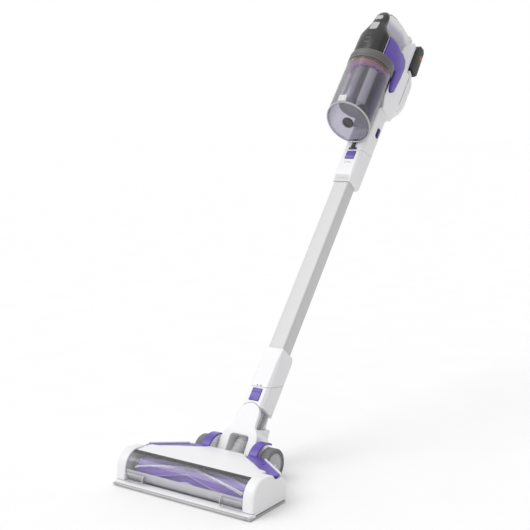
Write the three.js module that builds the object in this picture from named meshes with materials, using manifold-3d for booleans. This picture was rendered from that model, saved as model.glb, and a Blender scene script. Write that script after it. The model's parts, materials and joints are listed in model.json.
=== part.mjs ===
// A cordless stick vacuum: floor head, steering neck, wand and handheld unit with bin and battery.
// Millimetres, +Z up, +Y from the floor head back to the user; left and right are as seen from the front.
// The origin is on the floor, in the middle of the sole's rear land. The stick leans back at RECLINE.
import * as THREE from "three";
import { mergeVertices } from "three/addons/utils/BufferGeometryUtils.js";
import Module from "manifold-3d";

const wasm = await Module();
wasm.setup();

// ---------------------------------------------------------------- driving dimensions
// Stance
const RECLINE = THREE.MathUtils.degToRad(38.6); // stick's lean from vertical
const GAP = 0.3; // joint between two fitted pieces
const PLAY = 0.1; // radial clearance of a turning fit
const PRESS = 0.6; // clearance around a moving button

// Floor head
const HEAD_WIDTH = 320;
const CAP_REACH = 14; // side caps behind the brush motor's axis
const CAP_WIDTH = 24;
const LIP_TO_ORIGIN = 100; // front edge of the head to the origin
const LIP_DEPTH = 19;
const LIP_HEIGHT = 10.5;
const SOLE_LEVEL = 1; // underside of the sole above the floor
const SOLE_THICK = 2.6;
const SHELL_WALL = 2.5;
const DECK_RISE = 18; // seat of the coloured wings above the wheels' axis
const WING_THICK = 5;
const WINDOW_SETBACK = 12; // front of the window's arc behind the front edge
const WINDOW_WALL = 2.2;
const WINDOW_END = 219; // lower end of the window's arc, degrees from the back
const BAND_WIDTH = 9;

// Brush roll and its drive
const BRUSH_RADIUS = 26;
const BRUSH_CORE_RADIUS = 19;
const BRUSH_ROOM = 3.8; // from the bristles to the window's inside
const BRUSH_CLEARANCE = 0.6; // bristles above the floor
const BRUSH_STRIPS = 6;
const BRUSH_TWIST = THREE.MathUtils.degToRad(75); // turn of a strip from the middle to one end
const BRUSH_AXLE_RADIUS = 4;
const BRUSH_MOTOR_RADIUS = 15;
const BRUSH_MOTOR_LENGTH = 58;
const BELT_REACH = 57; // from the brush's axis to its motor's
const BRUSH_PULLEY_RADIUS = 14;
const MOTOR_PULLEY_RADIUS = 7;
const BELT_WIDTH = 7;
const BELT_THICK = 1.5;

// Wheels and pivot
const WHEEL_RADIUS = 32;
const WHEEL_WIDTH = 20;
const TYRE_THICK = 10;
const WHEEL_OUTER_X = 88; // outer face of each wheel from the middle
const AXLE_RADIUS = 4;
const AXLE_Y = 186.5; // behind the front edge
const EAR_THICK = 4;
const FENDER_WALL = 3.7;

// Neck
const NECK_WIDTH = 86; // across the yoke's legs
const LEG_WIDTH = 20;
const TONGUE_RADIUS = 26;
const TONGUE_THICK = 8;
const SWIVEL_S = 82; // swivel axis up the stick from the pivot
const SWIVEL_PIN_RADIUS = 4;
const HOSE_RADIUS = 15;
const HOSE_WALL = 1.6;
const PIVOT_BOSS_RADIUS = 18;

// Stick section shared by socket, collars and the handheld's neck
const COLLAR_WIDTH = 50;
const COLLAR_FRONT = 23; // front face from the stick's axis
const COLLAR_BACK = 35;
const COLLAR_BEVEL = 6;
const SPIGOT_RADIUS = 15;
const SPIGOT_WALL = 2;
const SPIGOT_LENGTH = 46;
const SEAM_RISE_LOW = 34; // lower seam's climb from front to back
const SEAM_RISE_HIGH = 20;
const SOCKET_LENGTH = 61; // from the swivel's axis to the lower seam at the front face

// Wand
const TUBE_WIDTH = 38;
const TUBE_FRONT = 17;
const TUBE_BACK = 19;
const TUBE_WALL = 1.6;
const TUBE_LENGTH = 421; // visible between the collars
const LOW_COLLAR_LENGTH = 90;
const HIGH_COLLAR_LENGTH = 84;
const TUBE_INSERT = 24; // length hidden in each collar

// Release latches on the stick
const LATCH_WIDTH = 22;
const LATCH_THICK = 3.6;
const LATCH_PROUD = 1;
const LATCH_TRAVEL = 1.8;
const LOW_LATCH_HEIGHT = 26;
const HIGH_LATCH_HEIGHT = 20;
const LATCH_TO_SEAM = 4;
const LATCH_SPRING_RADIUS = 4;
const LATCH_SPRING_LENGTH = 2.6;
const SPRING_WIRE = 0.7;

// Dust bin
const BIN_RADIUS = 52.4;
const BIN_WALL = 2.2;
const BIN_AXIS_Y = -76;
const BIN_TOP_S = 922; // lower edge of the collar ring
const RING_HEIGHT = 23;
const RING_PROUD = 0.6; // collar ring beyond the bin
const RING_WALL = 4;
const LID_MIDDLE_S = 775.6; // bin's cut on its axis
const LID_SLOPE = 0.285; // rise of the cut per length forward
const LID_THICK = 3;
const LID_HINGE_RADIUS = 3.4;
const LID_HINGE_WIDTH = 26;
const CYCLONE_RADIUS = 36;
const CYCLONE_WALL = 1.6;
const CYCLONE_BOTTOM_S = 812;
const FILTER_RING_HEIGHT = 15;
const FILTER_RADIUS = 32;
const FILTER_PLEATS = 24;

// Handheld body; its stations are measured in its own drawing, where the upper seam is at SEAM_S
const SEAM_S = 738;
const BODY_WIDTH = 86;
const BODY_FRONT_WIDTH = 72; // across the front of the body, behind the control cover
const BODY_TOP_S = 1003;
const COVER_BACK_Y = -101.5; // joint between control cover and body
const COVER_FRONT_Y = -127;
const COVER_TOP_S = 1076;
const COVER_WALL = 2.6;
const GRIP_WIDTH = 32;
const GRIP_ROUND = 4;
const STRIP_THICK = 2.2;
const PANEL_THICK = 3.2;
const MOTOR_HOUSING_WIDTH = 82;
const MOTOR_HOUSING_BACK = 80;
const MOTOR_SPLIT_Y = 30;
const MOTOR_RADIUS = 26;
const MOTOR_LENGTH = 56;
const MOTOR_BOTTOM_S = 922;
const MOTOR_Y = 34;
const FAN_RADIUS = 22;
const FAN_BLADES = 9;
const FOOT_WIDTH = 62;
const FOOT_TOP_S = 1108;
const FOOT_BACK_Y = 27;
const VENT_SLOTS = 12;
const VENT_PITCH = 8;

// Buttons on the control cover
const POWER_BUTTON = { width: 20, height: 25, bottom: 1006 };
const BOOST_BUTTON = { width: 18, height: 15, bottom: 1041 };
const BUTTON_TRAVEL = 1.5;

// Battery
const BATTERY_WIDTH = 74;
const BATTERY_DEPTH = 36;
const BATTERY_BOTTOM_S = 1020;
const BATTERY_HEIGHT = 82;
const BATTERY_STRIPE_WIDTH = 12;

// ---------------------------------------------------------------- colours
const finish = (color, roughness, metalness = 0, opacity = 1) =>
  new THREE.MeshStandardMaterial({
    color,
    roughness,
    metalness,
    opacity,
    transparent: opacity < 1,
  });
const FINISHES = {
  white: () => finish(0xf2f2f4, 0.35),
  purple: () => finish(0x6a4fd0, 0.4),
  black: () => finish(0x1c1c1e, 0.3),
  grey: () => finish(0x858585, 0.5),
  paleGrey: () => finish(0xc9c9cc, 0.5),
  rubber: () => finish(0x707274, 0.8),
  clear: () => finish(0xdfe4ea, 0.1, 0, 0.35),
  smoke: () => finish(0x9a93ab, 0.1, 0, 0.4),
  alloy: () => finish(0xc4c5c8, 0.35, 0.9),
  steel: () => finish(0xa8aaad, 0.3, 1),
  copper: () => finish(0xb06a5a, 0.3, 0.8),
  orange: () => finish(0xd9502e, 0.5),
  bristle: () => finish(0x7a5fc4, 0.9),
  board: () => finish(0x1f6b45, 0.7),
  paper: () => finish(0xe6e2d6, 0.95),
};

// ---------------------------------------------------------------- solids
// A three.js geometry as a closed solid that can be joined and cut.
function solid(geometry) {
  const plain = new THREE.BufferGeometry();
  const flat = geometry.index ? geometry.toNonIndexed() : geometry;
  plain.setAttribute("position", flat.getAttribute("position"));
  const merged = mergeVertices(plain, 1e-4);
  return new wasm.Manifold(
    new wasm.Mesh({
      numProp: 3,
      vertProperties: merged.attributes.position.array,
      triVerts: new Uint32Array(merged.index.array),
    }),
  );
}

// The solid's mesh as a three.js geometry.
function geometryOf(body) {
  const mesh = body.getMesh();
  const geometry = new THREE.BufferGeometry();
  geometry.setAttribute("position", new THREE.BufferAttribute(mesh.vertProperties, 3));
  geometry.setIndex(new THREE.BufferAttribute(mesh.triVerts, 1));
  return geometry;
}

const join = (...bodies) => bodies.reduce((sum, body) => sum.add(body));
const cut = (body, ...tools) => tools.reduce((left, tool) => left.subtract(tool), body);
const common = (...bodies) => bodies.reduce((left, body) => left.intersect(body));

// An outline as a THREE.Shape; an entry is a corner [a, b].
function outline(corners) {
  return new THREE.Shape(corners.map(([a, b]) => new THREE.Vector2(a, b)));
}

// Corner on a circle about [a, b], degrees measured from the first axis towards the second.
function onCircle(radius, degrees, a = 0, b = 0) {
  const angle = THREE.MathUtils.degToRad(degrees);
  return [a + radius * Math.cos(angle), b + radius * Math.sin(angle)];
}

// Corners of an arc about [a, b].
function arc(a, b, radius, from, to, steps = 8) {
  const step = (to - from) / steps;
  return Array.from({ length: steps + 1 }, (_, i) => onCircle(radius, from + step * i, a, b));
}

const mirrored = (corners) => [...corners, ...corners.map(([a, b]) => [-a, b]).reverse()];
const shapeOf = (form) => (form instanceof THREE.Shape ? form : outline(form));

function extruded(form, length, round, curveSegments = 8) {
  const bevel = round > 0;
  const geometry = new THREE.ExtrudeGeometry(shapeOf(form), {
    depth: length - 2 * round,
    curveSegments,
    bevelEnabled: bevel,
    bevelThickness: round,
    bevelSize: round,
    bevelOffset: -round,
    bevelSegments: 3,
  });
  return bevel ? geometry.translate(0, 0, round) : geometry;
}

// Prisms: an outline in (y, z) along X, in (x, z) along Y, and in (x, y) along Z.
function alongX(form, from, to, round = 0) {
  const turn = new THREE.Matrix4().set(0, 0, 1, from, 1, 0, 0, 0, 0, 1, 0, 0, 0, 0, 0, 1);
  return solid(extruded(form, to - from, round).applyMatrix4(turn));
}

function alongY(form, from, to, round = 0) {
  const flip = outline(shapeOf(form).getPoints(8).map((p) => [-p.x, p.y]));
  const turn = new THREE.Matrix4().set(-1, 0, 0, 0, 0, 0, 1, from, 0, 1, 0, 0, 0, 0, 0, 1);
  return solid(extruded(flip, to - from, round).applyMatrix4(turn));
}

function alongZ(form, from, to, round = 0) {
  return solid(extruded(form, to - from, round).translate(0, 0, from));
}

function block(x0, x1, y0, y1, z0, z1) {
  const box = new THREE.BoxGeometry(x1 - x0, y1 - y0, z1 - z0);
  return solid(box.translate((x0 + x1) / 2, (y0 + y1) / 2, (z0 + z1) / 2));
}

// A round bar along an axis ("x", "y" or "z") from one station to another, centred on [a, b].
function bar(axis, radius, from, to, a = 0, b = 0, sides = 24) {
  const rod = new THREE.CylinderGeometry(radius, radius, to - from, sides);
  const middle = (from + to) / 2;
  if (axis === "x") rod.rotateZ(-Math.PI / 2).translate(middle, a, b);
  if (axis === "y") rod.translate(a, middle, b);
  if (axis === "z") rod.rotateX(Math.PI / 2).translate(a, b, middle);
  return solid(rod);
}

// A turned piece about the Z axis; the profile is [radius, height] corners, anticlockwise.
function turned(profile, sides = 32) {
  const points = profile.map(([r, z]) => new THREE.Vector2(r, z));
  points.push(points[0].clone());
  return solid(new THREE.LatheGeometry(points, sides).rotateX(Math.PI / 2));
}

// A pipe along a smooth path, open at both ends.
function pipe(points, radius, wall, steps = 14, sides = 14) {
  const ring = new THREE.Shape();
  ring.absarc(0, 0, radius, 0, 2 * Math.PI);
  const path = new THREE.CatmullRomCurve3(points.map((p) => new THREE.Vector3(...p)));
  const settings = { steps, extrudePath: path, curveSegments: sides };
  const outer = solid(new THREE.ExtrudeGeometry(ring, settings));
  if (!wall) return outer;
  const hole = new THREE.Path();
  hole.absarc(0, 0, radius - wall, 0, 2 * Math.PI, true);
  ring.holes.push(hole);
  return solid(new THREE.ExtrudeGeometry(ring, settings));
}

// A helical spring about the Y axis, standing on y = 0.
function coil(radius, length, turns = 3) {
  class Helix extends THREE.Curve {
    getPoint(t, target = new THREE.Vector3()) {
      const angle = 2 * Math.PI * turns * t;
      const rise = SPRING_WIRE / 2 + (length - SPRING_WIRE) * t;
      return target.set(radius * Math.cos(angle), rise, radius * Math.sin(angle));
    }
  }
  const wire = new THREE.Shape();
  wire.absarc(0, 0, SPRING_WIRE / 2, 0, 2 * Math.PI);
  return solid(
    new THREE.ExtrudeGeometry(wire, { steps: turns * 8, extrudePath: new Helix(), curveSegments: 3 }),
  );
}

const at = (body, x, y, z) => body.translate([x, y, z]);

// ---------------------------------------------------------------- assembly
const vacuum = new THREE.Group();
const head = new THREE.Group(); // y = 0 at the front edge of the floor head
head.position.y = -LIP_TO_ORIGIN;
const stick = new THREE.Group(); // z runs up the stick from the pivot, y towards the user's side
stick.position.set(0, AXLE_Y - LIP_TO_ORIGIN, WHEEL_RADIUS);
stick.rotation.x = -RECLINE;
const handheld = new THREE.Group(); // slides up the stick with the wand's length
vacuum.add(head, stick);
stick.add(handheld);

function piece(group, name, body, colour) {
  const mesh = new THREE.Mesh(geometryOf(body), FINISHES[colour]());
  mesh.name = name;
  group.add(mesh);
}

const SIDES = [
  ["left", -1],
  ["right", 1],
];
const onSide = (body, side) => (side > 0 ? body : body.mirror([1, 0, 0]));

// ---------------------------------------------------------------- places that follow from the sizes
const WINDOW_RADIUS = BRUSH_RADIUS + BRUSH_ROOM + WINDOW_WALL;
const WINDOW_Y = WINDOW_SETBACK + WINDOW_RADIUS; // centre of the window's arc behind the front edge
const BRUSH_Y = WINDOW_Y + 1;
const BRUSH_Z = BRUSH_RADIUS + BRUSH_CLEARANCE;
const WINDOW_Z = BRUSH_Z + 3.4;
const BRUSH_MOTOR_Y = BRUSH_Y + BELT_REACH;
const DECK_LEVEL = WHEEL_RADIUS + DECK_RISE;
const BRUSH_MOTOR_Z = DECK_LEVEL - 8.4 - BRUSH_MOTOR_RADIUS;
const HEAD_DEPTH = BRUSH_MOTOR_Y + CAP_REACH;
const SHELL_TOP = WINDOW_Z + WINDOW_RADIUS; // ridge of the head behind the window
const RING_RADIUS = BIN_RADIUS + RING_PROUD;
const LOW_SEAM_S = SWIVEL_S + SOCKET_LENGTH;
const TUBE_BOTTOM_S = LOW_SEAM_S + LOW_COLLAR_LENGTH;
const TUBE_TOP_S = TUBE_BOTTOM_S + TUBE_LENGTH;
const HIGH_SEAM_S = TUBE_TOP_S + HIGH_COLLAR_LENGTH;

// ---------------------------------------------------------------- floor head
const INNER_X = HEAD_WIDTH / 2 - CAP_WIDTH; // inner face of the end caps
const SOLE_TOP = SOLE_LEVEL + SOLE_THICK;
const EAR_X = NECK_WIDTH / 2 + 3.5; // inner face of the cradle ears
const WHEEL_INNER_X = WHEEL_OUTER_X - WHEEL_WIDTH;
const FENDER_RADIUS = WHEEL_RADIUS + 4 + FENDER_WALL;
const REAR_WALL_Y = AXLE_Y - WHEEL_RADIUS - 2;

// Plan of the white deck: full width at the window, narrowing to the cradle.
const DECK_SIDE = [
  [INNER_X - GAP, 86],
  [INNER_X - 18, 90],
  [EAR_X + 1.5, REAR_WALL_Y - 10],
  [EAR_X - 2, REAR_WALL_Y],
];

function headShell() {
  const deck = mirrored([[INNER_X - GAP, WINDOW_Y], ...DECK_SIDE]);
  const skirt = mirrored([
    [INNER_X - GAP, WINDOW_Y],
    [INNER_X - GAP, HEAD_DEPTH - 3],
    [WHEEL_OUTER_X + 4, REAR_WALL_Y - 2],
    [EAR_X, REAR_WALL_Y],
  ]);
  const profile = [
    [WINDOW_Y, SOLE_TOP + GAP],
    [REAR_WALL_Y, SOLE_TOP + GAP],
    [REAR_WALL_Y, DECK_LEVEL + 6],
    [112, SHELL_TOP - 2],
    [70, SHELL_TOP],
    [WINDOW_Y, SHELL_TOP],
  ];
  const outer = join(
    common(alongX(profile, -INNER_X, INNER_X), alongZ(deck, 0, SHELL_TOP)),
    alongZ(skirt, SOLE_TOP + GAP, DECK_LEVEL - GAP),
  );
  // Motor bay behind the brush chamber, open below to the sole.
  const bayProfile = [
    [WINDOW_Y + WINDOW_RADIUS + 2, -1],
    [REAR_WALL_Y - SHELL_WALL, -1],
    [REAR_WALL_Y - SHELL_WALL, DECK_LEVEL - 4],
    [WINDOW_Y + WINDOW_RADIUS + 2, DECK_LEVEL - 4],
  ];
  const bayPlan = mirrored([
    [INNER_X - SHELL_WALL, 0],
    [INNER_X - SHELL_WALL, HEAD_DEPTH - 6],
    [WHEEL_OUTER_X, REAR_WALL_Y - 6],
    [EAR_X, REAR_WALL_Y],
  ]);
  const bay = common(alongX(bayProfile, -INNER_X, INNER_X), alongZ(bayPlan, -2, DECK_LEVEL));
  const chamber = join(
    bar("x", WINDOW_RADIUS - WINDOW_WALL, -INNER_X, INNER_X, WINDOW_Y, WINDOW_Z, 40),
    block(-INNER_X, INNER_X, WINDOW_Y - 40, WINDOW_Y + WINDOW_RADIUS - WINDOW_WALL, -1, WINDOW_Z),
  );
  const beltSlot = block(-INNER_X, BELT_INNER_X + 3, WINDOW_Y, BRUSH_MOTOR_Y, 3, 44);
  const port = bar("y", ELBOW_RADIUS + GAP, WINDOW_Y, REAR_WALL_Y + 1, 0, ELBOW_Z);
  const ears = SIDES.map(([, side]) => onSide(cradleEar(), side));
  return cut(join(outer, ...ears), bay, chamber, beltSlot, port, axleBores());
}

// Ear that carries the axle, and the web that joins it to the shell.
function cradleEar() {
  const radius = FENDER_RADIUS - FENDER_WALL - GAP;
  const atDeck = 180 - THREE.MathUtils.radToDeg(Math.asin((DECK_RISE - GAP) / radius));
  const side = [
    ...arc(AXLE_Y, WHEEL_RADIUS, radius, 60, atDeck, 8),
    [REAR_WALL_Y - 4, DECK_LEVEL - GAP],
    [REAR_WALL_Y - 4, SOLE_TOP + GAP],
    ...arc(AXLE_Y, WHEEL_RADIUS, 16, 270, 360, 5),
  ];
  return alongX(side, EAR_X, EAR_X + EAR_THICK);
}

const axleBores = () =>
  bar("x", AXLE_RADIUS + PLAY, -WHEEL_OUTER_X, WHEEL_OUTER_X, AXLE_Y, WHEEL_RADIUS, 20);

// Coloured wing: a deck plate that runs into the fender over the wheel.
function wingCover() {
  const plan = [
    [INNER_X - 17.6, 90.6],
    [HEAD_WIDTH / 2 - 9, 86],
    [HEAD_WIDTH / 2 - 5, 92],
    [HEAD_WIDTH / 2 - 6, 104],
    [WHEEL_OUTER_X + 4, REAR_WALL_Y - 4],
    [WHEEL_INNER_X - 2, REAR_WALL_Y + 2],
    [EAR_X + 2.2, REAR_WALL_Y + 2],
    [EAR_X + 2.2, REAR_WALL_Y - 9],
  ];
  const plate = alongZ(plan, DECK_LEVEL, DECK_LEVEL + WING_THICK);
  const arch = [
    ...arc(AXLE_Y, WHEEL_RADIUS, FENDER_RADIUS, 55, 153, 10),
    ...arc(AXLE_Y, WHEEL_RADIUS, FENDER_RADIUS - FENDER_WALL, 148, 55, 10),
  ];
  const fender = alongX(arch, EAR_X, WHEEL_INNER_X - 1.5);
  const inner = FENDER_RADIUS - FENDER_WALL;
  const clearance = bar("x", inner, EAR_X - 2, WHEEL_OUTER_X + 9, AXLE_Y, WHEEL_RADIUS, 40);
  return cut(join(plate, fender), clearance);
}

// End cap: a rounded block that closes the brush chamber, with the bearing seat inside.
function endCap() {
  const side = [
    [HEAD_DEPTH - 1, SOLE_TOP + GAP],
    [HEAD_DEPTH + 2, 24],
    [HEAD_DEPTH - 4, 43],
    [HEAD_DEPTH - 12, DECK_LEVEL - GAP],
    [84, DECK_LEVEL - GAP],
    [76, SHELL_TOP - 2],
    [64, SHELL_TOP + 2.5],
    ...arc(WINDOW_Y + 2, WINDOW_Z, WINDOW_RADIUS + 3, 80, 180, 7),
    [8, SOLE_TOP + GAP],
  ];
  const outer = common(
    alongX(side, INNER_X - 12, HEAD_WIDTH / 2, 5),
    block(INNER_X, HEAD_WIDTH / 2, 0, HEAD_DEPTH + 4, 0, SHELL_TOP + 10),
  );
  const seat = bar("x", BRUSH_AXLE_RADIUS + PLAY, INNER_X - 1, INNER_X + 9, BRUSH_Y, BRUSH_Z, 20);
  const lipNotch = block(INNER_X - 1, HEAD_WIDTH / 2 + 1, 0, LIP_DEPTH, 0, LIP_HEIGHT + GAP);
  return cut(outer, seat, lipNotch);
}

// Clear window over the brush roll: a band of a cylinder.
function brushWindow() {
  const inner = WINDOW_RADIUS - WINDOW_WALL;
  const top = 90 + THREE.MathUtils.radToDeg(BAND_WIDTH / WINDOW_RADIUS);
  const side = [
    ...arc(WINDOW_Y, WINDOW_Z, WINDOW_RADIUS, top + 1, WINDOW_END, 14),
    ...arc(WINDOW_Y, WINDOW_Z, inner, WINDOW_END, top + 1, 14),
  ];
  const length = INNER_X - GAP;
  const plate = alongX(side, -length, length);
  return cut(plate, block(-length - 1, length + 1, 0, LIP_DEPTH + 3, 0, LIP_HEIGHT + GAP));
}

function windowBand() {
  const top = 90 + THREE.MathUtils.radToDeg(BAND_WIDTH / WINDOW_RADIUS);
  const inner = WINDOW_RADIUS - WINDOW_WALL;
  const side = [
    ...arc(WINDOW_Y, WINDOW_Z, WINDOW_RADIUS, 90.8, top, 4),
    ...arc(WINDOW_Y, WINDOW_Z, inner, top, 90.8, 4),
  ];
  return alongX(side, -INNER_X + GAP, INNER_X - GAP);
}

function frontBumper() {
  const side = [
    [0, SOLE_TOP + GAP],
    [LIP_DEPTH - 1, SOLE_TOP + GAP],
    [LIP_DEPTH - 1, LIP_HEIGHT],
    [4, LIP_HEIGHT - 1.5],
    [0, LIP_HEIGHT - 3.5],
  ];
  const plan = mirrored([
    [HEAD_WIDTH / 2 - 14, 0],
    [HEAD_WIDTH / 2 - 4, 3],
    [HEAD_WIDTH / 2, 12],
    [HEAD_WIDTH / 2, LIP_DEPTH],
  ]);
  return common(alongX(side, -HEAD_WIDTH / 2, HEAD_WIDTH / 2), alongZ(plan, 0, LIP_HEIGHT));
}

// Sole plate with the nozzle opening, two corner pads and the rear land, all level with the floor.
function solePlate() {
  const plan = mirrored([
    [HEAD_WIDTH / 2 - 14, 1],
    [HEAD_WIDTH / 2 - 4, 4],
    [HEAD_WIDTH / 2 - 1, 12],
    [HEAD_WIDTH / 2 - 1, HEAD_DEPTH - 4],
    [HEAD_WIDTH / 2 - 24, HEAD_DEPTH - 1],
    [WHEEL_OUTER_X + 3, REAR_WALL_Y - 3],
    [EAR_X, REAR_WALL_Y - 1],
  ]);
  const plate = alongZ(plan, SOLE_LEVEL, SOLE_TOP);
  const nozzleBack = WINDOW_Y + WINDOW_RADIUS - WINDOW_WALL - 2;
  const nozzle = block(-INNER_X + 8, INNER_X - 8, LIP_DEPTH, nozzleBack, 0, SOLE_TOP + 1);
  const pads = SIDES.map(([, side]) => {
    const x = side * (HEAD_WIDTH / 2 - 16);
    return block(x - 11, x + 11, 6, 16, 0, SOLE_LEVEL + 1);
  });
  const land = block(-40, 40, LIP_TO_ORIGIN - 9, LIP_TO_ORIGIN + 9, 0, SOLE_LEVEL + 1);
  return cut(join(plate, ...pads, land), nozzle);
}

// Brush roll: a core on two axle stubs, and strips that form chevrons from the middle out.
function brushCore() {
  const half = INNER_X - 4;
  const core = bar("x", BRUSH_CORE_RADIUS, BELT_INNER_X + 3, half, BRUSH_Y, BRUSH_Z, 24);
  const axle = bar("x", BRUSH_AXLE_RADIUS, -INNER_X - 7, INNER_X + 7, BRUSH_Y, BRUSH_Z, 16);
  return join(core, axle);
}

function brushStrips() {
  const from = BELT_INNER_X + 4;
  const to = INNER_X - 9;
  const step = 360 / BRUSH_STRIPS;
  const root = BRUSH_CORE_RADIUS + 1.4;
  const star = Array.from({ length: BRUSH_STRIPS }, (_, i) => [
    ...arc(0, 0, BRUSH_RADIUS, i * step - 7, i * step + 7, 1),
    ...arc(0, 0, root, i * step + 13, (i + 1) * step - 13, 1),
  ]).flat();
  const sleeve = new THREE.ExtrudeGeometry(outline(star), {
    depth: to - from,
    steps: 16,
    bevelEnabled: false,
  });
  const places = sleeve.getAttribute("position");
  for (let i = 0; i < places.count; i++) {
    const x = places.getZ(i) + from;
    const turn = (BRUSH_TWIST * Math.abs(x)) / INNER_X;
    const a = places.getX(i);
    const b = places.getY(i);
    places.setXYZ(i, x, a * Math.cos(turn) - b * Math.sin(turn), a * Math.sin(turn) + b * Math.cos(turn));
  }
  const bore = bar("x", BRUSH_CORE_RADIUS + GAP, from - 1, to + 1, 0, 0, 24);
  return at(cut(solid(sleeve), bore), 0, BRUSH_Y, BRUSH_Z);
}

// Belt drive at the left end.
const BELT_OUTER_X = -INNER_X + 4;
const BELT_INNER_X = BELT_OUTER_X + BELT_WIDTH;

function brushPulley() {
  const wheel = bar("x", BRUSH_PULLEY_RADIUS, BELT_OUTER_X, BELT_INNER_X, BRUSH_Y, BRUSH_Z, 28);
  const bore = bar("x", BRUSH_AXLE_RADIUS + GAP, -INNER_X, INNER_X, BRUSH_Y, BRUSH_Z, 16);
  return cut(wheel, bore);
}

function motorPulley() {
  const x = BELT_INNER_X;
  const wheel = bar("x", MOTOR_PULLEY_RADIUS, BELT_OUTER_X, x, BRUSH_MOTOR_Y, BRUSH_MOTOR_Z, 20);
  const shaft = bar("x", 2.5, x - 1, x + 5, BRUSH_MOTOR_Y, BRUSH_MOTOR_Z, 12);
  return join(wheel, shaft);
}

function beltLoop(growth) {
  const brush = [BRUSH_Y, BRUSH_Z, BRUSH_PULLEY_RADIUS + growth];
  const motor = [BRUSH_MOTOR_Y, BRUSH_MOTOR_Z, MOTOR_PULLEY_RADIUS + growth];
  const along = [motor[0] - brush[0], motor[1] - brush[1]];
  const lean = Math.asin((brush[2] - motor[2]) / Math.hypot(...along));
  const tangent = 90 - THREE.MathUtils.radToDeg(lean);
  const slope = THREE.MathUtils.radToDeg(Math.atan2(along[1], along[0]));
  const overMotor = arc(...motor, slope - tangent, slope + tangent, 10);
  const overBrush = arc(...brush, slope + tangent, slope + 360 - tangent, 16);
  return [...overMotor, ...overBrush];
}

function driveBelt() {
  const outer = alongX(beltLoop(GAP + BELT_THICK), BELT_OUTER_X + 0.5, BELT_INNER_X - 0.5);
  const inner = alongX(beltLoop(GAP), BELT_OUTER_X, BELT_INNER_X);
  return cut(outer, inner);
}

function brushMotor() {
  const from = BELT_INNER_X + 8;
  const can = bar("x", BRUSH_MOTOR_RADIUS, from, from + BRUSH_MOTOR_LENGTH, BRUSH_MOTOR_Y, BRUSH_MOTOR_Z);
  const nose = bar("x", 6, from - 2, from + 1, BRUSH_MOTOR_Y, BRUSH_MOTOR_Z, 16);
  const bore = bar("x", 2.5 + GAP, from - 3, from + 6, BRUSH_MOTOR_Y, BRUSH_MOTOR_Z, 12);
  return cut(join(can, nose), bore);
}

// Duct from the brush chamber back to the hose.
const ELBOW_RADIUS = HOSE_RADIUS + 2;
const ELBOW_Z = SOLE_TOP + ELBOW_RADIUS + 4;

function suctionDuct() {
  const from = WINDOW_Y + WINDOW_RADIUS + 0.5;
  const outer = bar("y", ELBOW_RADIUS, from, REAR_WALL_Y + 2, 0, ELBOW_Z, 24);
  const inner = bar("y", ELBOW_RADIUS - 2, from - 1, REAR_WALL_Y + 3, 0, ELBOW_Z, 24);
  return cut(outer, inner);
}

// Wheel and its axle, made on the right and mirrored to the left.
const wheelTurn = (body) => at(body.rotate([0, 90, 0]), 0, AXLE_Y, WHEEL_RADIUS);

function wheelTyre() {
  const inner = WHEEL_RADIUS - TYRE_THICK;
  const profile = [
    [inner, WHEEL_INNER_X],
    [WHEEL_RADIUS - 2, WHEEL_INNER_X],
    [WHEEL_RADIUS, WHEEL_INNER_X + 2],
    [WHEEL_RADIUS, WHEEL_OUTER_X - 2.5],
    [WHEEL_RADIUS - 2.5, WHEEL_OUTER_X],
    [inner + 2, WHEEL_OUTER_X],
    [inner, WHEEL_OUTER_X - 1],
  ];
  return wheelTurn(turned(profile, 36));
}

function wheelHub() {
  const rim = WHEEL_RADIUS - TYRE_THICK - GAP;
  const bore = AXLE_RADIUS + PLAY;
  const profile = [
    [bore, WHEEL_INNER_X + 1],
    [rim, WHEEL_INNER_X + 1],
    [rim, WHEEL_OUTER_X - 2],
    [rim - 3, WHEEL_OUTER_X - 3.5],
    [bore, WHEEL_OUTER_X - 3.5],
  ];
  return wheelTurn(turned(profile, 30));
}

const axlePin = () =>
  bar("x", AXLE_RADIUS, NECK_WIDTH / 2 - LEG_WIDTH + 1, WHEEL_OUTER_X - 4, AXLE_Y, WHEEL_RADIUS, 20);

piece(head, "head_shell", headShell(), "white");
piece(head, "sole_plate", solePlate(), "paleGrey");
piece(head, "front_bumper", frontBumper(), "white");
piece(head, "brush_window", brushWindow(), "clear");
piece(head, "window_band", windowBand(), "black");
piece(head, "brush_core", brushCore(), "grey");
piece(head, "brush_bristles", brushStrips(), "bristle");
piece(head, "brush_pulley", brushPulley(), "grey");
piece(head, "motor_pulley", motorPulley(), "steel");
piece(head, "drive_belt", driveBelt(), "rubber");
piece(head, "brush_motor", brushMotor(), "steel");
piece(head, "suction_duct", suctionDuct(), "paleGrey");
for (const [name, side] of SIDES) {
  piece(head, `end_cap_${name}`, onSide(endCap(), side), "white");
  piece(head, `wing_cover_${name}`, onSide(wingCover(), side), "purple");
  piece(head, `wheel_tyre_${name}`, onSide(wheelTyre(), side), "rubber");
  piece(head, `wheel_hub_${name}`, onSide(wheelHub(), side), "paleGrey");
  piece(head, `axle_pin_${name}`, onSide(axlePin(), side), "steel");
}

// ---------------------------------------------------------------- neck
const EAR_BACK_THICK = 7;
const LUG_THICK = 5;
const LUG_RADIUS = 17;
const TONGUE_BACK = -COLLAR_FRONT + TONGUE_THICK;
const REAR_EAR_FRONT = COLLAR_BACK - EAR_BACK_THICK;
const SOCKET_BOTTOM_S = SWIVEL_S + 19;

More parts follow.
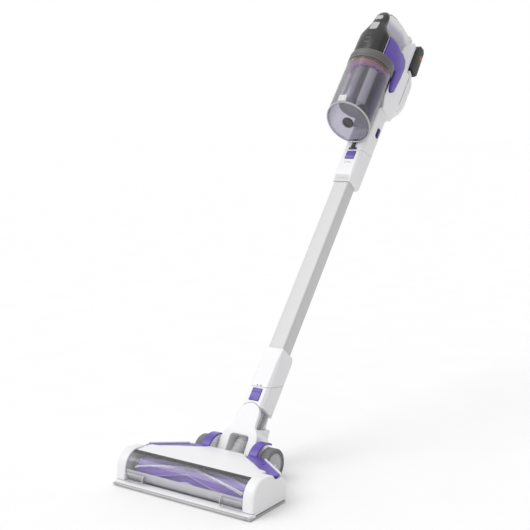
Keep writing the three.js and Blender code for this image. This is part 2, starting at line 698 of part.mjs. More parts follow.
// Yoke: two legs on the axle, a window between them, a round tongue in front and an ear behind.
function neckYoke() {
  const half = NECK_WIDTH / 2;
  const front = mirrored([
    [half, -PIVOT_BOSS_RADIUS - 1],
    [half, 26],
    [half - 3, 42],
    [TONGUE_RADIUS + 2, 58],
    [TONGUE_RADIUS, 70],
    ...arc(0, SWIVEL_S, TONGUE_RADIUS, 0, 90, 8),
  ]);
  const side = [
    ...arc(0, 0, PIVOT_BOSS_RADIUS, 190, 330, 8),
    [COLLAR_BACK - 6, 22],
    [COLLAR_BACK, 40],
    [COLLAR_BACK, 130],
    [-COLLAR_FRONT, 130],
    [-COLLAR_FRONT, 44],
    [-COLLAR_FRONT + 2, 24],
  ];
  const blank = common(alongY(front, -40, 60), alongX(side, -half, half));
  // Space that the socket's two lugs turn in, between tongue and ear.
  const slot = alongX(
    [
      [TONGUE_BACK, 56],
      [REAR_EAR_FRONT, 74],
      [REAR_EAR_FRONT, 140],
      [TONGUE_BACK, 140],
    ],
    -half - 1,
    half + 1,
  );
  const lugWell = bar("y", LUG_RADIUS + 1, TONGUE_BACK, REAR_EAR_FRONT, 0, SWIVEL_S);
  const earTop = cut(
    block(-half - 1, half + 1, REAR_EAR_FRONT - 1, 60, SWIVEL_S - 6, 140),
    bar("y", 14, REAR_EAR_FRONT - 2, 61, 0, SWIVEL_S),
    block(-14, 14, REAR_EAR_FRONT - 2, 61, 60, SWIVEL_S),
  );
  const windowShape = mirrored([
    [half - LEG_WIDTH - 1, -40],
    [half - LEG_WIDTH - 1, 32],
    ...arc(half - LEG_WIDTH - 8, 32, 7, 0, 90, 4),
  ]);
  const window = alongY(windowShape, -40, 60);
  const gallery = bar("z", HOSE_RADIUS + 3, 20, 100, 0, HOSE_BACK, 24);
  const pins = bar("y", SWIVEL_PIN_RADIUS + GAP, -COLLAR_FRONT + 3, COLLAR_BACK - 3, 0, SWIVEL_S, 16);
  const pivot = bar("x", AXLE_RADIUS + PLAY, -half - 1, half + 1, 0, 0, 20);
  return cut(blank, slot, lugWell, earTop, window, gallery, pins, pivot);
}

const HOSE_BACK = 6; // the hose runs this far behind the stick's axis
const HOSE_JOINT_S = 56; // where the lower hose meets the upper one

// Short pins on which the socket swivels, seated in the tongue and the ear.
const swivelPinFront = () =>
  bar("y", SWIVEL_PIN_RADIUS, -COLLAR_FRONT + 3.3, TONGUE_BACK + GAP + LUG_THICK, 0, SWIVEL_S, 16);
const swivelPinRear = () =>
  bar("y", SWIVEL_PIN_RADIUS, REAR_EAR_FRONT - GAP - LUG_THICK, COLLAR_BACK - 3.3, 0, SWIVEL_S, 16);

// Flexible hose from the floor head's duct up into the neck, in the stick's own frame.
function hoseLower() {
  const toStick = (y, z) => {
    const dy = y - AXLE_Y;
    const dz = z - WHEEL_RADIUS;
    const c = Math.cos(RECLINE);
    const s = Math.sin(RECLINE);
    return [0, dy * c - dz * s, dy * s + dz * c];
  };
  const path = [
    toStick(REAR_WALL_Y + 3.4, ELBOW_Z),
    toStick(REAR_WALL_Y + 12, ELBOW_Z + 1.5),
    [0, HOSE_BACK - 14, 14],
    [0, HOSE_BACK - 3, 34],
    [0, HOSE_BACK, 48],
    [0, HOSE_BACK, HOSE_JOINT_S],
  ];
  return pipe(path, HOSE_RADIUS, HOSE_WALL, 10, 7);
}

const hoseUpper = () => {
  const outer = bar("z", HOSE_RADIUS - 1, HOSE_JOINT_S + 1, SOCKET_BOTTOM_S + 6, 0, HOSE_BACK, 20);
  return cut(outer, bar("z", HOSE_RADIUS - 1 - HOSE_WALL, 50, SOCKET_BOTTOM_S + 8, 0, HOSE_BACK, 20));
};

piece(stick, "neck_yoke", neckYoke(), "white");
piece(stick, "swivel_pin_front", swivelPinFront(), "steel");
piece(stick, "swivel_pin_rear", swivelPinRear(), "steel");
piece(stick, "hose_lower", hoseLower(), "paleGrey");
piece(stick, "hose_upper", hoseUpper(), "paleGrey");

// ---------------------------------------------------------------- socket, collars and tube
// The stick's own section: a rectangle with bevelled corners.
function collarSection(inset = 0) {
  const x = COLLAR_WIDTH / 2 - inset;
  const front = -COLLAR_FRONT + inset;
  const back = COLLAR_BACK - inset;
  return mirrored([
    [x - COLLAR_BEVEL, front],
    [x, front + COLLAR_BEVEL],
    [x, back - COLLAR_BEVEL * 2],
    [x - COLLAR_BEVEL * 1.4, back],
  ]);
}

function tubeSection(offset = 0) {
  const x = TUBE_WIDTH / 2 + offset;
  return mirrored([
    [x - 4, -TUBE_FRONT - offset],
    [x, -TUBE_FRONT - offset + 4],
    [x, TUBE_BACK + offset - 7],
    [x - 7, TUBE_BACK + offset],
  ]);
}

// Half-space below or above a seam that climbs from the front face to the back face.
function seamSide(seam, rise, below) {
  const front = [-COLLAR_FRONT, seam];
  const back = [COLLAR_BACK, seam + rise];
  const slope = rise / (COLLAR_FRONT + COLLAR_BACK);
  const far = below ? -1000 : 2000;
  const reach = 150;
  return alongX(
    [
      [front[0] - reach, front[1] - reach * slope],
      [back[0] + reach, back[1] + reach * slope],
      [back[0] + reach, far],
      [front[0] - reach, far],
    ],
    -60,
    60,
  );
}

const LATCH_POCKET_DEPTH = LATCH_THICK - LATCH_PROUD + LATCH_SPRING_LENGTH + 2 * GAP;

// Pocket for a latch in the front face, from one height to another.
function latchPocket(bottom, height) {
  const half = LATCH_WIDTH / 2 + PRESS;
  const back = -COLLAR_FRONT + LATCH_POCKET_DEPTH;
  return block(-half, half, -COLLAR_FRONT - 5, back, bottom - PRESS, bottom + height + PRESS);
}

function latchButton(bottom, height) {
  const half = LATCH_WIDTH / 2;
  const front = -COLLAR_FRONT - LATCH_PROUD;
  const face = [
    [-half, bottom],
    [half, bottom],
    [half, bottom + height],
    [-half, bottom + height],
  ];
  const plate = alongY(face, front, front + LATCH_THICK);
  const top = bottom + height;
  const groove = block(-half + 2, half - 2, front - 1, front + 0.7, top - 9, top - 7.6);
  return cut(plate, groove);
}

function latchSpring(bottom, height) {
  const start = -COLLAR_FRONT - LATCH_PROUD + LATCH_THICK + GAP;
  return at(coil(LATCH_SPRING_RADIUS, LATCH_SPRING_LENGTH, 2), 0, start, bottom + height / 2);
}

const LOW_LATCH_BOTTOM = LOW_SEAM_S - LATCH_TO_SEAM - LOW_LATCH_HEIGHT;
const HIGH_LATCH_BOTTOM = HIGH_SEAM_S - LATCH_TO_SEAM - HIGH_LATCH_HEIGHT;
const LOW_BORE_TOP = LOW_SEAM_S + SPIGOT_LENGTH + 2;
const HIGH_BORE_BOTTOM = HIGH_SEAM_S - SPIGOT_LENGTH - 2;

// Socket that the neck swivels in: front and rear lugs below, a spigot for the wand above.
function headSocket() {
  const body = common(
    alongZ(collarSection(), SWIVEL_S - 30, LOW_SEAM_S + 60),
    seamSide(LOW_SEAM_S - GAP, SEAM_RISE_LOW, true),
    block(-60, 60, -60, 60, SOCKET_BOTTOM_S - 40, 400),
  );
  const recess = bar("y", TONGUE_RADIUS + GAP + 0.2, -60, TONGUE_BACK + GAP, 0, SWIVEL_S, 32);
  const below = block(-60, 60, -60, 60, 0, SOCKET_BOTTOM_S);
  const lugFront = lug(TONGUE_BACK + GAP, TONGUE_BACK + GAP + LUG_THICK);
  const lugRear = lug(REAR_EAR_FRONT - GAP - LUG_THICK, REAR_EAR_FRONT - GAP);
  const spigot = bar("z", SPIGOT_RADIUS, LOW_SEAM_S - 20, LOW_SEAM_S + SPIGOT_LENGTH, 0, 0);
  const bore = bar("z", SPIGOT_RADIUS - SPIGOT_WALL, SOCKET_BOTTOM_S + 14, LOW_SEAM_S + 90, 0, 0);
  const hoseSeat = bar("z", HOSE_RADIUS + 0.5, 0, SOCKET_BOTTOM_S + 16, 0, HOSE_BACK - 1);
  const pins = bar("y", SWIVEL_PIN_RADIUS + PLAY, -60, 60, 0, SWIVEL_S, 16);
  const topRound = cut(body, below, recess);
  return cut(
    join(topRound, lugFront, lugRear, spigot),
    bore,
    hoseSeat,
    pins,
    latchPocket(LOW_LATCH_BOTTOM, LOW_LATCH_HEIGHT),
  );
}

function lug(from, to) {
  const side = mirrored([
    [LUG_RADIUS, SOCKET_BOTTOM_S + 8],
    ...arc(0, SWIVEL_S, LUG_RADIUS, 0, -90, 6),
  ]);
  return alongY(side.reverse(), from, to);
}

// Wand collars: a front silhouette that narrows to the tube, and a chamfered back.
function collarBlank(tubeEnd, jointEnd) {
  const up = Math.sign(jointEnd - tubeEnd);
  const half = COLLAR_WIDTH / 2;
  const order = (corners) => (up > 0 ? corners : corners.reverse());
  const front = mirrored([
    [half - 3, tubeEnd],
    [half - 0.5, tubeEnd + up * 40],
    [half, jointEnd],
  ]);
  const side = order([
    [-COLLAR_FRONT + 2, tubeEnd],
    [TUBE_BACK + 3, tubeEnd],
    [COLLAR_BACK - 3, tubeEnd + up * 16],
    [COLLAR_BACK, tubeEnd + up * 40],
    [COLLAR_BACK, jointEnd],
    [-COLLAR_FRONT, jointEnd],
    [-COLLAR_FRONT, tubeEnd + up * 30],
  ]);
  const low = Math.min(tubeEnd, jointEnd);
  const high = Math.max(tubeEnd, jointEnd);
  return common(
    alongY(up > 0 ? front : front.reverse(), -60, 60),
    alongX(side, -60, 60),
    alongZ(collarSection(), low, high),
  );
}

function lowerCollar() {
  const blank = collarBlank(TUBE_BOTTOM_S, LOW_SEAM_S - 10);
  const bore = bar("z", SPIGOT_RADIUS + GAP, LOW_SEAM_S - 30, LOW_BORE_TOP, 0, 0);
  const tubeSeat = alongZ(tubeSection(GAP), TUBE_BOTTOM_S - TUBE_INSERT, TUBE_BOTTOM_S + 5);
  const air = bar("z", SPIGOT_RADIUS - SPIGOT_WALL, LOW_SEAM_S, TUBE_BOTTOM_S, 0, 0);
  const upper = common(blank, seamSide(LOW_SEAM_S, SEAM_RISE_LOW, false));
  return cut(upper, bore, tubeSeat, air);
}

function upperCollar() {
  const blank = collarBlank(TUBE_TOP_S, HIGH_SEAM_S + SEAM_RISE_HIGH + 6);
  const bore = bar("z", SPIGOT_RADIUS + GAP, HIGH_BORE_BOTTOM, HIGH_SEAM_S + 40, 0, 0);
  const tubeSeat = alongZ(tubeSection(GAP), TUBE_TOP_S - 5, TUBE_TOP_S + TUBE_INSERT);
  const air = bar("z", SPIGOT_RADIUS - SPIGOT_WALL, TUBE_TOP_S, HIGH_SEAM_S, 0, 0);
  const lower = common(blank, seamSide(HIGH_SEAM_S - GAP, SEAM_RISE_HIGH, true));
  return cut(lower, bore, tubeSeat, air, latchPocket(HIGH_LATCH_BOTTOM, HIGH_LATCH_HEIGHT));
}

function wandTube() {
  const from = TUBE_BOTTOM_S - TUBE_INSERT + GAP;
  const to = TUBE_TOP_S + TUBE_INSERT - GAP;
  const inner = alongZ(tubeSection(-TUBE_WALL), from - 1, to + 1);
  return cut(alongZ(tubeSection(), from, to), inner);
}

piece(stick, "head_socket", headSocket(), "white");
piece(stick, "head_release_button", latchButton(LOW_LATCH_BOTTOM, LOW_LATCH_HEIGHT), "purple");
piece(stick, "head_release_spring", latchSpring(LOW_LATCH_BOTTOM, LOW_LATCH_HEIGHT), "steel");
piece(stick, "wand_lower_collar", lowerCollar(), "white");
piece(stick, "wand_tube", wandTube(), "alloy");
piece(stick, "wand_upper_collar", upperCollar(), "white");
piece(stick, "wand_release_button", latchButton(HIGH_LATCH_BOTTOM, HIGH_LATCH_HEIGHT), "purple");
piece(stick, "wand_release_spring", latchSpring(HIGH_LATCH_BOTTOM, HIGH_LATCH_HEIGHT), "steel");

// ---------------------------------------------------------------- dust bin
handheld.position.z = HIGH_SEAM_S - SEAM_S;

const aboutBin = (body) => at(body, 0, BIN_AXIS_Y, 0);
const RING_TOP_S = BIN_TOP_S + RING_HEIGHT;
const LID_ANGLE = Math.atan(LID_SLOPE);

// Everything above the bin's slanted cut, moved down the stick by a drop.
function aboveLid(drop = 0) {
  const rise = (y) => LID_MIDDLE_S - LID_SLOPE * (y - BIN_AXIS_Y) - drop;
  const front = BIN_AXIS_Y - 90;
  const back = BIN_AXIS_Y + 90;
  const plane = [
    [front, rise(front)],
    [back, rise(back)],
    [back, RING_TOP_S],
    [front, RING_TOP_S],
  ];
  return alongX(plane, -80, 80);
}

const binRing = () =>
  aboutBin(
    turned([
      [RING_RADIUS - RING_WALL, BIN_TOP_S + GAP],
      [RING_RADIUS - 1.2, BIN_TOP_S + GAP],
      [RING_RADIUS, BIN_TOP_S + 1.5],
      [RING_RADIUS, RING_TOP_S - 1],
      [RING_RADIUS - 1, RING_TOP_S],
      [RING_RADIUS - RING_WALL, RING_TOP_S],
    ], 40),
  );

function binCup() {
  const bottom = LID_MIDDLE_S - 30;
  const wall = aboutBin(
    turned([
      [BIN_RADIUS - BIN_WALL, bottom],
      [BIN_RADIUS, bottom],
      [BIN_RADIUS, BIN_TOP_S],
      [BIN_RADIUS - BIN_WALL, BIN_TOP_S],
    ], 40),
  );
  const inlet = block(-INLET_WIDTH / 2, INLET_WIDTH / 2, BIN_AXIS_Y + 30, 0, INLET_BOTTOM_S, INLET_TOP_S);
  return cut(common(wall, aboveLid()), inlet);
}

const INLET_WIDTH = 24;
const INLET_BOTTOM_S = 800;
const INLET_TOP_S = 832;

// Lid: a clear disc with a rim, square to the slanted cut, hinged at the back.
function binLid() {
  const stretch = 1 / Math.cos(LID_ANGLE);
  const disc = bar("z", BIN_RADIUS, LID_MIDDLE_S - 40, LID_MIDDLE_S + 40, 0, BIN_AXIS_Y, 40);
  const slice = cut(common(disc, aboveLid((GAP + LID_THICK) * stretch)), aboveLid(GAP * stretch));
  const half = LID_HINGE_WIDTH / 2;
  const knuckle = bar("x", LID_HINGE_RADIUS, -half, half, LID_HINGE_Y, LID_HINGE_S, 16);
  const pinHole = bar("x", 1.6, -LID_HINGE_WIDTH, LID_HINGE_WIDTH, LID_HINGE_Y, LID_HINGE_S, 12);
  const heel = block(-BIN_RADIUS, BIN_RADIUS, LID_HINGE_Y + 0.4, 0, LID_HINGE_S + 0.5, LID_MIDDLE_S);
  return cut(join(cut(slice, heel), knuckle), pinHole, lidBossBore());
}

const LID_HINGE_Y = BIN_AXIS_Y + BIN_RADIUS - 3.2;
const LID_HINGE_S = LID_MIDDLE_S - LID_SLOPE * (LID_HINGE_Y - BIN_AXIS_Y) - LID_HINGE_RADIUS - 1;
const LID_BOSS_RADIUS = 9;

// A bar square to the lid through its middle.
function lidNormalBar(radius, from, to, sides = 24) {
  const upright = bar("z", radius, from, to, 0, 0, sides);
  const leaned = upright.rotate([THREE.MathUtils.radToDeg(-LID_ANGLE), 0, 0]);
  return at(leaned, 0, BIN_AXIS_Y, LID_MIDDLE_S);
}

const lidBossBore = () => lidNormalBar(LID_BOSS_RADIUS - 2, -20, 20);
const lidBoss = () =>
  join(lidNormalBar(LID_BOSS_RADIUS - 2 - GAP, -6, -1), lidNormalBar(LID_BOSS_RADIUS, -7.2, -3.8));

const lidHingePin = () =>
  bar("x", 1.5, -LID_HINGE_WIDTH / 2 + 1, LID_HINGE_WIDTH / 2 - 1, LID_HINGE_Y, LID_HINGE_S, 12);

// Cyclone shroud, filter ring and pleated filter hang inside the bin from its top.
const FILTER_RING_BOTTOM_S = BIN_TOP_S - FILTER_RING_HEIGHT;

const cyclone = () =>
  aboutBin(
    turned([
      [CYCLONE_RADIUS - CYCLONE_WALL, CYCLONE_BOTTOM_S],
      [CYCLONE_RADIUS, CYCLONE_BOTTOM_S],
      [CYCLONE_RADIUS, FILTER_RING_BOTTOM_S - GAP],
      [CYCLONE_RADIUS - CYCLONE_WALL, FILTER_RING_BOTTOM_S - GAP],
    ], 32),
  );

const filterRing = () =>
  aboutBin(
    turned([
      [CYCLONE_RADIUS - 2, FILTER_RING_BOTTOM_S],
      [CYCLONE_RADIUS + 1, FILTER_RING_BOTTOM_S],
      [BIN_RADIUS - BIN_WALL - 3, FILTER_RING_BOTTOM_S + 6],
      [BIN_RADIUS - BIN_WALL - 3, BIN_TOP_S],
      [CYCLONE_RADIUS - 2, BIN_TOP_S],
    ], 36),
  );

function pleatedFilter() {
  const step = 360 / FILTER_PLEATS;
  const star = Array.from({ length: FILTER_PLEATS }, (_, i) => [
    onCircle(FILTER_RADIUS, i * step),
    onCircle(FILTER_RADIUS - 5, (i + 0.5) * step),
  ]).flat();
  const pleats = alongZ(star, FILTER_RING_BOTTOM_S - 40, BIN_TOP_S + RING_HEIGHT - 3);
  const hollow = bar("z", FILTER_RADIUS - 9, 0, BIN_TOP_S + RING_HEIGHT - 8, 0, 0, 24);
  return aboutBin(cut(pleats, hollow));
}

piece(handheld, "bin_ring", binRing(), "grey");
piece(handheld, "bin_cup", binCup(), "smoke");
piece(handheld, "bin_lid", binLid(), "smoke");
piece(handheld, "lid_boss", lidBoss(), "grey");
piece(handheld, "lid_hinge_pin", lidHingePin(), "steel");
piece(handheld, "cyclone_shroud", cyclone(), "steel");
piece(handheld, "filter_ring", filterRing(), "copper");
piece(handheld, "pleated_filter", pleatedFilter(), "paper");

// ---------------------------------------------------------------- handheld body
const BODY_HALF = BODY_WIDTH / 2;
const BODY_BASE_S = RING_TOP_S + GAP; // underside of the body over the bin
const GRIP_HALF = GRIP_WIDTH / 2;

// Plan of the body from the cover joint back; growth moves it outwards.
const bodySide = (growth = 0) => [
  [BODY_FRONT_WIDTH / 2 + growth, COVER_BACK_Y],
  [BODY_HALF + growth, COVER_BACK_Y + 32],
  [BODY_HALF + growth, MOTOR_SPLIT_Y - 36],
  [MOTOR_HOUSING_WIDTH / 2 - 1 + growth, MOTOR_SPLIT_Y - GAP],
];

// Silhouettes of the body: from the neck up to the grip.
const BODY_PROFILE = [
  [-COLLAR_FRONT, SEAM_S],
  [COLLAR_BACK, SEAM_S],
  [COLLAR_BACK, 862],
  [MOTOR_SPLIT_Y - GAP, 868],
  [MOTOR_SPLIT_Y - GAP, BODY_TOP_S + 14],
  [-4, BODY_TOP_S + 14],
  [-14, BODY_TOP_S],
  [COVER_BACK_Y, BODY_TOP_S],
  [COVER_BACK_Y, BODY_BASE_S],
  [-58, BODY_BASE_S],
  [-46, 892],
  [-COLLAR_FRONT, 866],
];

const BODY_FACE = mirrored([
  [COLLAR_WIDTH / 2, SEAM_S],
  [COLLAR_WIDTH / 2, 800],
  [BODY_HALF - 6, 872],
  [BODY_HALF + 1, 915],
  [BODY_HALF + 1, BODY_TOP_S - 12],
  [BODY_HALF - 10, BODY_TOP_S],
  [GRIP_HALF + 6, BODY_TOP_S + 15],
]);

// Top line of the grip, from the control cover back to the foot.
const GRIP_TOP = [
  [COVER_BACK_Y, 1069],
  [-92, 1078],
  [-67, 1089],
  [-30, 1097],
  [4, 1101],
  [FOOT_BACK_Y - 8, FOOT_TOP_S],
];

// The D-shaped grip: an outer outline with the finger opening as its hole.
function gripShape() {
  const shape = outline([
    [COVER_BACK_Y, BODY_TOP_S - 10],
    [10, BODY_TOP_S - 10],
    [FOOT_BACK_Y - 4, 1030],
    [FOOT_BACK_Y, FOOT_TOP_S - 6],
    ...[...GRIP_TOP].reverse(),
  ]);
  const opening = new THREE.Path(
    [
      [-91, 1010],
      [-92, 1028],
      [-82, 1036],
      [-52, 1047],
      [-26, 1056],
      [-14, 1052],
      [-12, 1030],
      [-22, 1012],
      [-34, 1007],
      [-84, 1007],
    ].map(([a, b]) => new THREE.Vector2(a, b)),
  );
  shape.holes.push(opening);
  return shape;
}

const binPocket = () => aboutBin(bar("z", RING_RADIUS + 0.6, 700, BODY_BASE_S, 0, 0, 40));
const motorChamber = () =>
  bar("z", MOTOR_RADIUS + 2, MOTOR_BOTTOM_S - 6, MOTOR_BOTTOM_S + MOTOR_LENGTH + 14, 0, MOTOR_Y, 28);

const SPIGOT_TOP_S = SEAM_S + 26;

function mainHousing() {
  const plan = mirrored(bodySide());
  const neckPlan = collarSection();
  const body = common(
    alongX(BODY_PROFILE, -60, 60),
    alongY(BODY_FACE, -140, 60),
    join(alongZ(plan, 860, 1100), alongZ(neckPlan, 700, 880)),
  );
  const skin = common(join(body, handleBlank()), seamSide(SEAM_S, SEAM_RISE_HIGH, false));
  // Air way from the spigot up the neck, out to the bin, and from the bin's top to the motor.
  const spigotSeat = bar("z", SPIGOT_RADIUS, SEAM_S - 60, SPIGOT_TOP_S, 0, 0);
  const neckBore = bar("z", SPIGOT_RADIUS - SPIGOT_WALL, SEAM_S - 60, INLET_TOP_S - 2, 0, 0);
  const port = block(-INLET_WIDTH / 2 + 1, INLET_WIDTH / 2 - 1, -40, 0, INLET_BOTTOM_S + 2, INLET_TOP_S - 2);
  const cleanAir = aboutBin(bar("z", FILTER_RADIUS, 900, BODY_TOP_S - 14, 0, 0, 32));
  const cleanDuct = block(-18, 18, BIN_AXIS_Y, MOTOR_Y, BODY_BASE_S + 14, BODY_TOP_S - 16);
  const cabling = block(-26, 26, COVER_BACK_Y - 1, -90, BODY_BASE_S + 6, BODY_TOP_S - 8);
  return cut(
    skin,
    aboveBody(),
    binPocket(),
    spigotSeat,
    neckBore,
    port,
    cleanAir,
    cleanDuct,
    cabling,
    motorChamber(),
    binButtonPocket(),
  );
}

// Short tube, seated in the neck, that plugs into the wand.
const inletSpigot = () =>
  cut(
    bar("z", SPIGOT_RADIUS, SEAM_S - SPIGOT_LENGTH, SPIGOT_TOP_S, 0, 0),
    bar("z", SPIGOT_RADIUS - SPIGOT_WALL, SEAM_S - 60, SPIGOT_TOP_S + 1, 0, 0),
  );

// Loop grip and battery foot: a moulding of its own, seated on the body's top.
const aboveBody = (gap = 0) => block(-80, 80, -140, 90, BODY_TOP_S + gap, 1200);
const handleBlank = () => join(alongX(gripShape(), -GRIP_HALF, GRIP_HALF, GRIP_ROUND), footBlock());
const gripHandle = () => cut(common(handleBlank(), aboveBody(0.05)), motorChamber());

// Foot that the battery slides on to, above the motor housing.
function footBlock() {
  const half = FOOT_WIDTH / 2;
  const profile = [
    [-10, BODY_TOP_S + 2],
    [MOTOR_SPLIT_Y - GAP, BODY_TOP_S + 2],
    [FOOT_BACK_Y, BODY_TOP_S + 18],
    [FOOT_BACK_Y, 1084],
    [14, 1090],
    [-2, 1060],
  ];
  const plan = mirrored([
    [GRIP_HALF - 4, -10],
    [half, 14],
    [half, MOTOR_SPLIT_Y],
  ]);
  return common(alongX(profile, -half, half), alongZ(plan, 900, 1200));
}

// Rear motor housing with horizontal exhaust slots in both flanks.
function motorHousing() {
  const half = MOTOR_HOUSING_WIDTH / 2;
  const round = Array.from({ length: 9 }, (_, i) => {
    const t = (i / 8) * (Math.PI / 2);
    return [
      half * Math.cos(t) ** 0.75,
      MOTOR_SPLIT_Y + (MOTOR_HOUSING_BACK - MOTOR_SPLIT_Y) * Math.sin(t) ** 0.9,
    ];
  });
  round[8][0] = 4;
  const plan = mirrored(round);
  const profile = [
    [MOTOR_SPLIT_Y, 869],
    [COLLAR_BACK + 1, 864],
    [COLLAR_BACK + 16, 884],
    [MOTOR_HOUSING_BACK - 10, 908],
    [MOTOR_HOUSING_BACK, 934],
    [MOTOR_HOUSING_BACK, 990],
    [MOTOR_HOUSING_BACK - 8, BATTERY_BOTTOM_S - 6],
    [MOTOR_SPLIT_Y, BODY_TOP_S + 14],
  ];
  const face = mirrored([
    [COLLAR_WIDTH / 2 - 6, 860],
    [half - 6, 884],
    [half + 1, 916],
    [half + 1, BODY_TOP_S - 10],
    [half - 8, BODY_TOP_S + 14],
  ]);
  const shell = common(alongZ(plan, 850, 1040), alongX(profile, -60, 60), alongY(face, 0, 100));
  const slots = Array.from({ length: VENT_SLOTS }, (_, i) => {
    const z = MOTOR_BOTTOM_S - 8 + i * VENT_PITCH;
    return block(-half - 2, half + 2, MOTOR_SPLIT_Y + 12, MOTOR_HOUSING_BACK - 14, z, z + VENT_PITCH * 0.4);
  });
  const rearWall = bar("z", MOTOR_RADIUS + 12, MOTOR_BOTTOM_S - 16, BODY_TOP_S, 0, MOTOR_Y + 4, 28);
  const ribs = slots.map((slot) => cut(slot, rearWall));
  return cut(shell, motorChamber(), ...ribs);
}

const suctionMotor = () =>
  join(
    bar("z", MOTOR_RADIUS, MOTOR_BOTTOM_S, MOTOR_BOTTOM_S + MOTOR_LENGTH - 14, 0, MOTOR_Y, 28),
    bar("z", 3, MOTOR_BOTTOM_S, MOTOR_BOTTOM_S + MOTOR_LENGTH, 0, MOTOR_Y, 12),
  );

// Suction fan on the motor's shaft.
function motorFan() {
  const base = MOTOR_BOTTOM_S + MOTOR_LENGTH - 13;
  const disc = bar("z", FAN_RADIUS, base, base + 2, 0, 0, 28);
  const blades = Array.from({ length: FAN_BLADES }, (_, i) =>
    block(5, FAN_RADIUS - 1, -0.7, 0.7, base + 1, base + 9).rotate([0, 0, (360 / FAN_BLADES) * i]),
  );
  const boss = bar("z", 6, base, base + 10, 0, 0, 16);
  const bore = bar("z", 3 + PLAY, base - 1, base + 12, 0, 0, 16);
  return at(cut(join(disc, boss, ...blades), bore), 0, MOTOR_Y, 0);
}

// Coloured side panel lying on the body's flank.
function sidePanel() {
  const profile = [
    [COVER_BACK_Y + 2, RING_TOP_S + 2],
    [-44, RING_TOP_S + 2],
    [-41, 906],
    [-34, 900],
    [-24, 908],
    [-16, 985],
    [-22, BODY_TOP_S - 4],
    [-44, BODY_TOP_S],
    [-56, BODY_TOP_S - 5],
    [COVER_BACK_Y + 2, BODY_TOP_S - 1],
  ];
  const inner = bodySide(GAP + 0.4);
  const outer = bodySide(GAP + 0.4 + PANEL_THICK).reverse();
  return common(alongX(profile, 0, 80), alongZ([...inner, ...outer].reverse(), 800, 1100));
}

// Glossy control cover: a half-round shell over the front of the body.
const coverPlan = (inset = 0) => {
  const half = BODY_FRONT_WIDTH / 2 - inset;
  const depth = COVER_BACK_Y - COVER_FRONT_Y - inset;
  const points = Array.from({ length: 13 }, (_, i) => {
    const t = Math.PI * (i / 12);
    return [half * Math.cos(t), COVER_BACK_Y - GAP - depth * Math.sin(t) ** 0.8];
  });
  return points;
};

const coverFace = (inset = 0) =>
  mirrored([
    [BODY_FRONT_WIDTH / 2 + 1 - inset, BODY_BASE_S],
    [BODY_FRONT_WIDTH / 2 - inset, BODY_TOP_S - 2],
    [GRIP_HALF + 3 - inset, 1034],
    [GRIP_HALF - inset, 1062],
    [GRIP_HALF - 5 - inset, COVER_TOP_S],
  ]);

function coverProfile(inset) {
  return [
    [COVER_BACK_Y - GAP, BODY_BASE_S + inset],
    [COVER_BACK_Y - GAP, COVER_TOP_S - 8 - inset * 2],
    [COVER_BACK_Y - 3, COVER_TOP_S - inset * 3],
    [COVER_BACK_Y - 9, COVER_TOP_S - 3 - inset * 2],
    [COVER_FRONT_Y + 9 + inset, 1050 - inset],
    [COVER_FRONT_Y + 3 + inset, 1012],
    [COVER_FRONT_Y + inset, 975],
    [COVER_FRONT_Y + inset, BODY_BASE_S + inset],
  ];
}

function topCover() {
  const skin = common(
    alongZ(coverPlan().reverse(), BODY_BASE_S, 1100),
    alongX(coverProfile(0).reverse(), -60, 60),
    alongY(coverFace(), -160, -60),
  );
  const hollow = common(
    alongZ(coverPlan(COVER_WALL).reverse(), BODY_BASE_S + COVER_WALL, 1026),
    alongX(coverProfile(COVER_WALL).reverse(), -BODY_FRONT_WIDTH / 2 + 8, BODY_FRONT_WIDTH / 2 - 8),
    alongY(coverFace(COVER_WALL + 1), -160, -60),
  );
  return cut(skin, hollow, buttonPocket(POWER_BUTTON), buttonPocket(BOOST_BUTTON));
}

// Both buttons press square to the cover's sloping front.
const BUTTON_LEAN = Math.atan2(7, 38);
const buttonPlace = (body, button) => {
  const middle = button.bottom + button.height / 2;
  const lean = THREE.MathUtils.radToDeg(-BUTTON_LEAN);
  const y = COVER_FRONT_Y + 3 + (middle - 1012) * Math.tan(BUTTON_LEAN);
  return at(body.rotate([lean, 0, 0]), 0, y, middle);
};

const BUTTON_DEPTH = 5;
const BUTTON_PROUD = 0.9;

function controlButton(button) {
  const x = button.width / 2;
  const z = button.height / 2;
  const plate = mirrored([
    [x - 3, -z],
    [x, -z + 3],
    [x, z - 3],
    [x - 3, z],
  ]);
  const body = alongY(plate, -BUTTON_PROUD, BUTTON_DEPTH - BUTTON_PROUD);
  return buttonPlace(body, button);
}

function buttonPocket(button) {
  const x = button.width / 2 + PRESS;
  const z = button.height / 2 + PRESS;
  return buttonPlace(block(-x, x, -8, BUTTON_DEPTH + BUTTON_TRAVEL + 0.5, -z, z), button);
}

// Trim along the outer edge of the grip.
function gripStrip() {
  const lower = GRIP_TOP.map(([y, z], i) => [i ? y : y + GAP, z + GAP]);
  const upper = [...lower].reverse().map(([y, z]) => [y, z + STRIP_THICK]);
  const half = GRIP_HALF - 4;
  return alongX([...lower, ...upper], -half, half);
}

const circuitBoard = () => block(-20, 20, COVER_BACK_Y - 9, COVER_BACK_Y - 7.4, BODY_BASE_S + 8, 1000);

// Bin release button in the left flank of the neck.
const BIN_BUTTON = { y: 12, s: 812, width: 9, height: 22 };

function binButtonPocket() {
  const x = COLLAR_WIDTH / 2;
  const { y, s, width, height } = BIN_BUTTON;
  const side = width / 2 + PRESS;
  const end = height / 2 + PRESS;
  return block(x - 6, x + 9, y - side, y + side, s - end, s + end);
}

function binButton() {
  const x = COLLAR_WIDTH / 2;
  const { y, s, width, height } = BIN_BUTTON;
  return block(x - 3.4, x + 2, y - width / 2, y + width / 2, s - height / 2, s + height / 2);
}

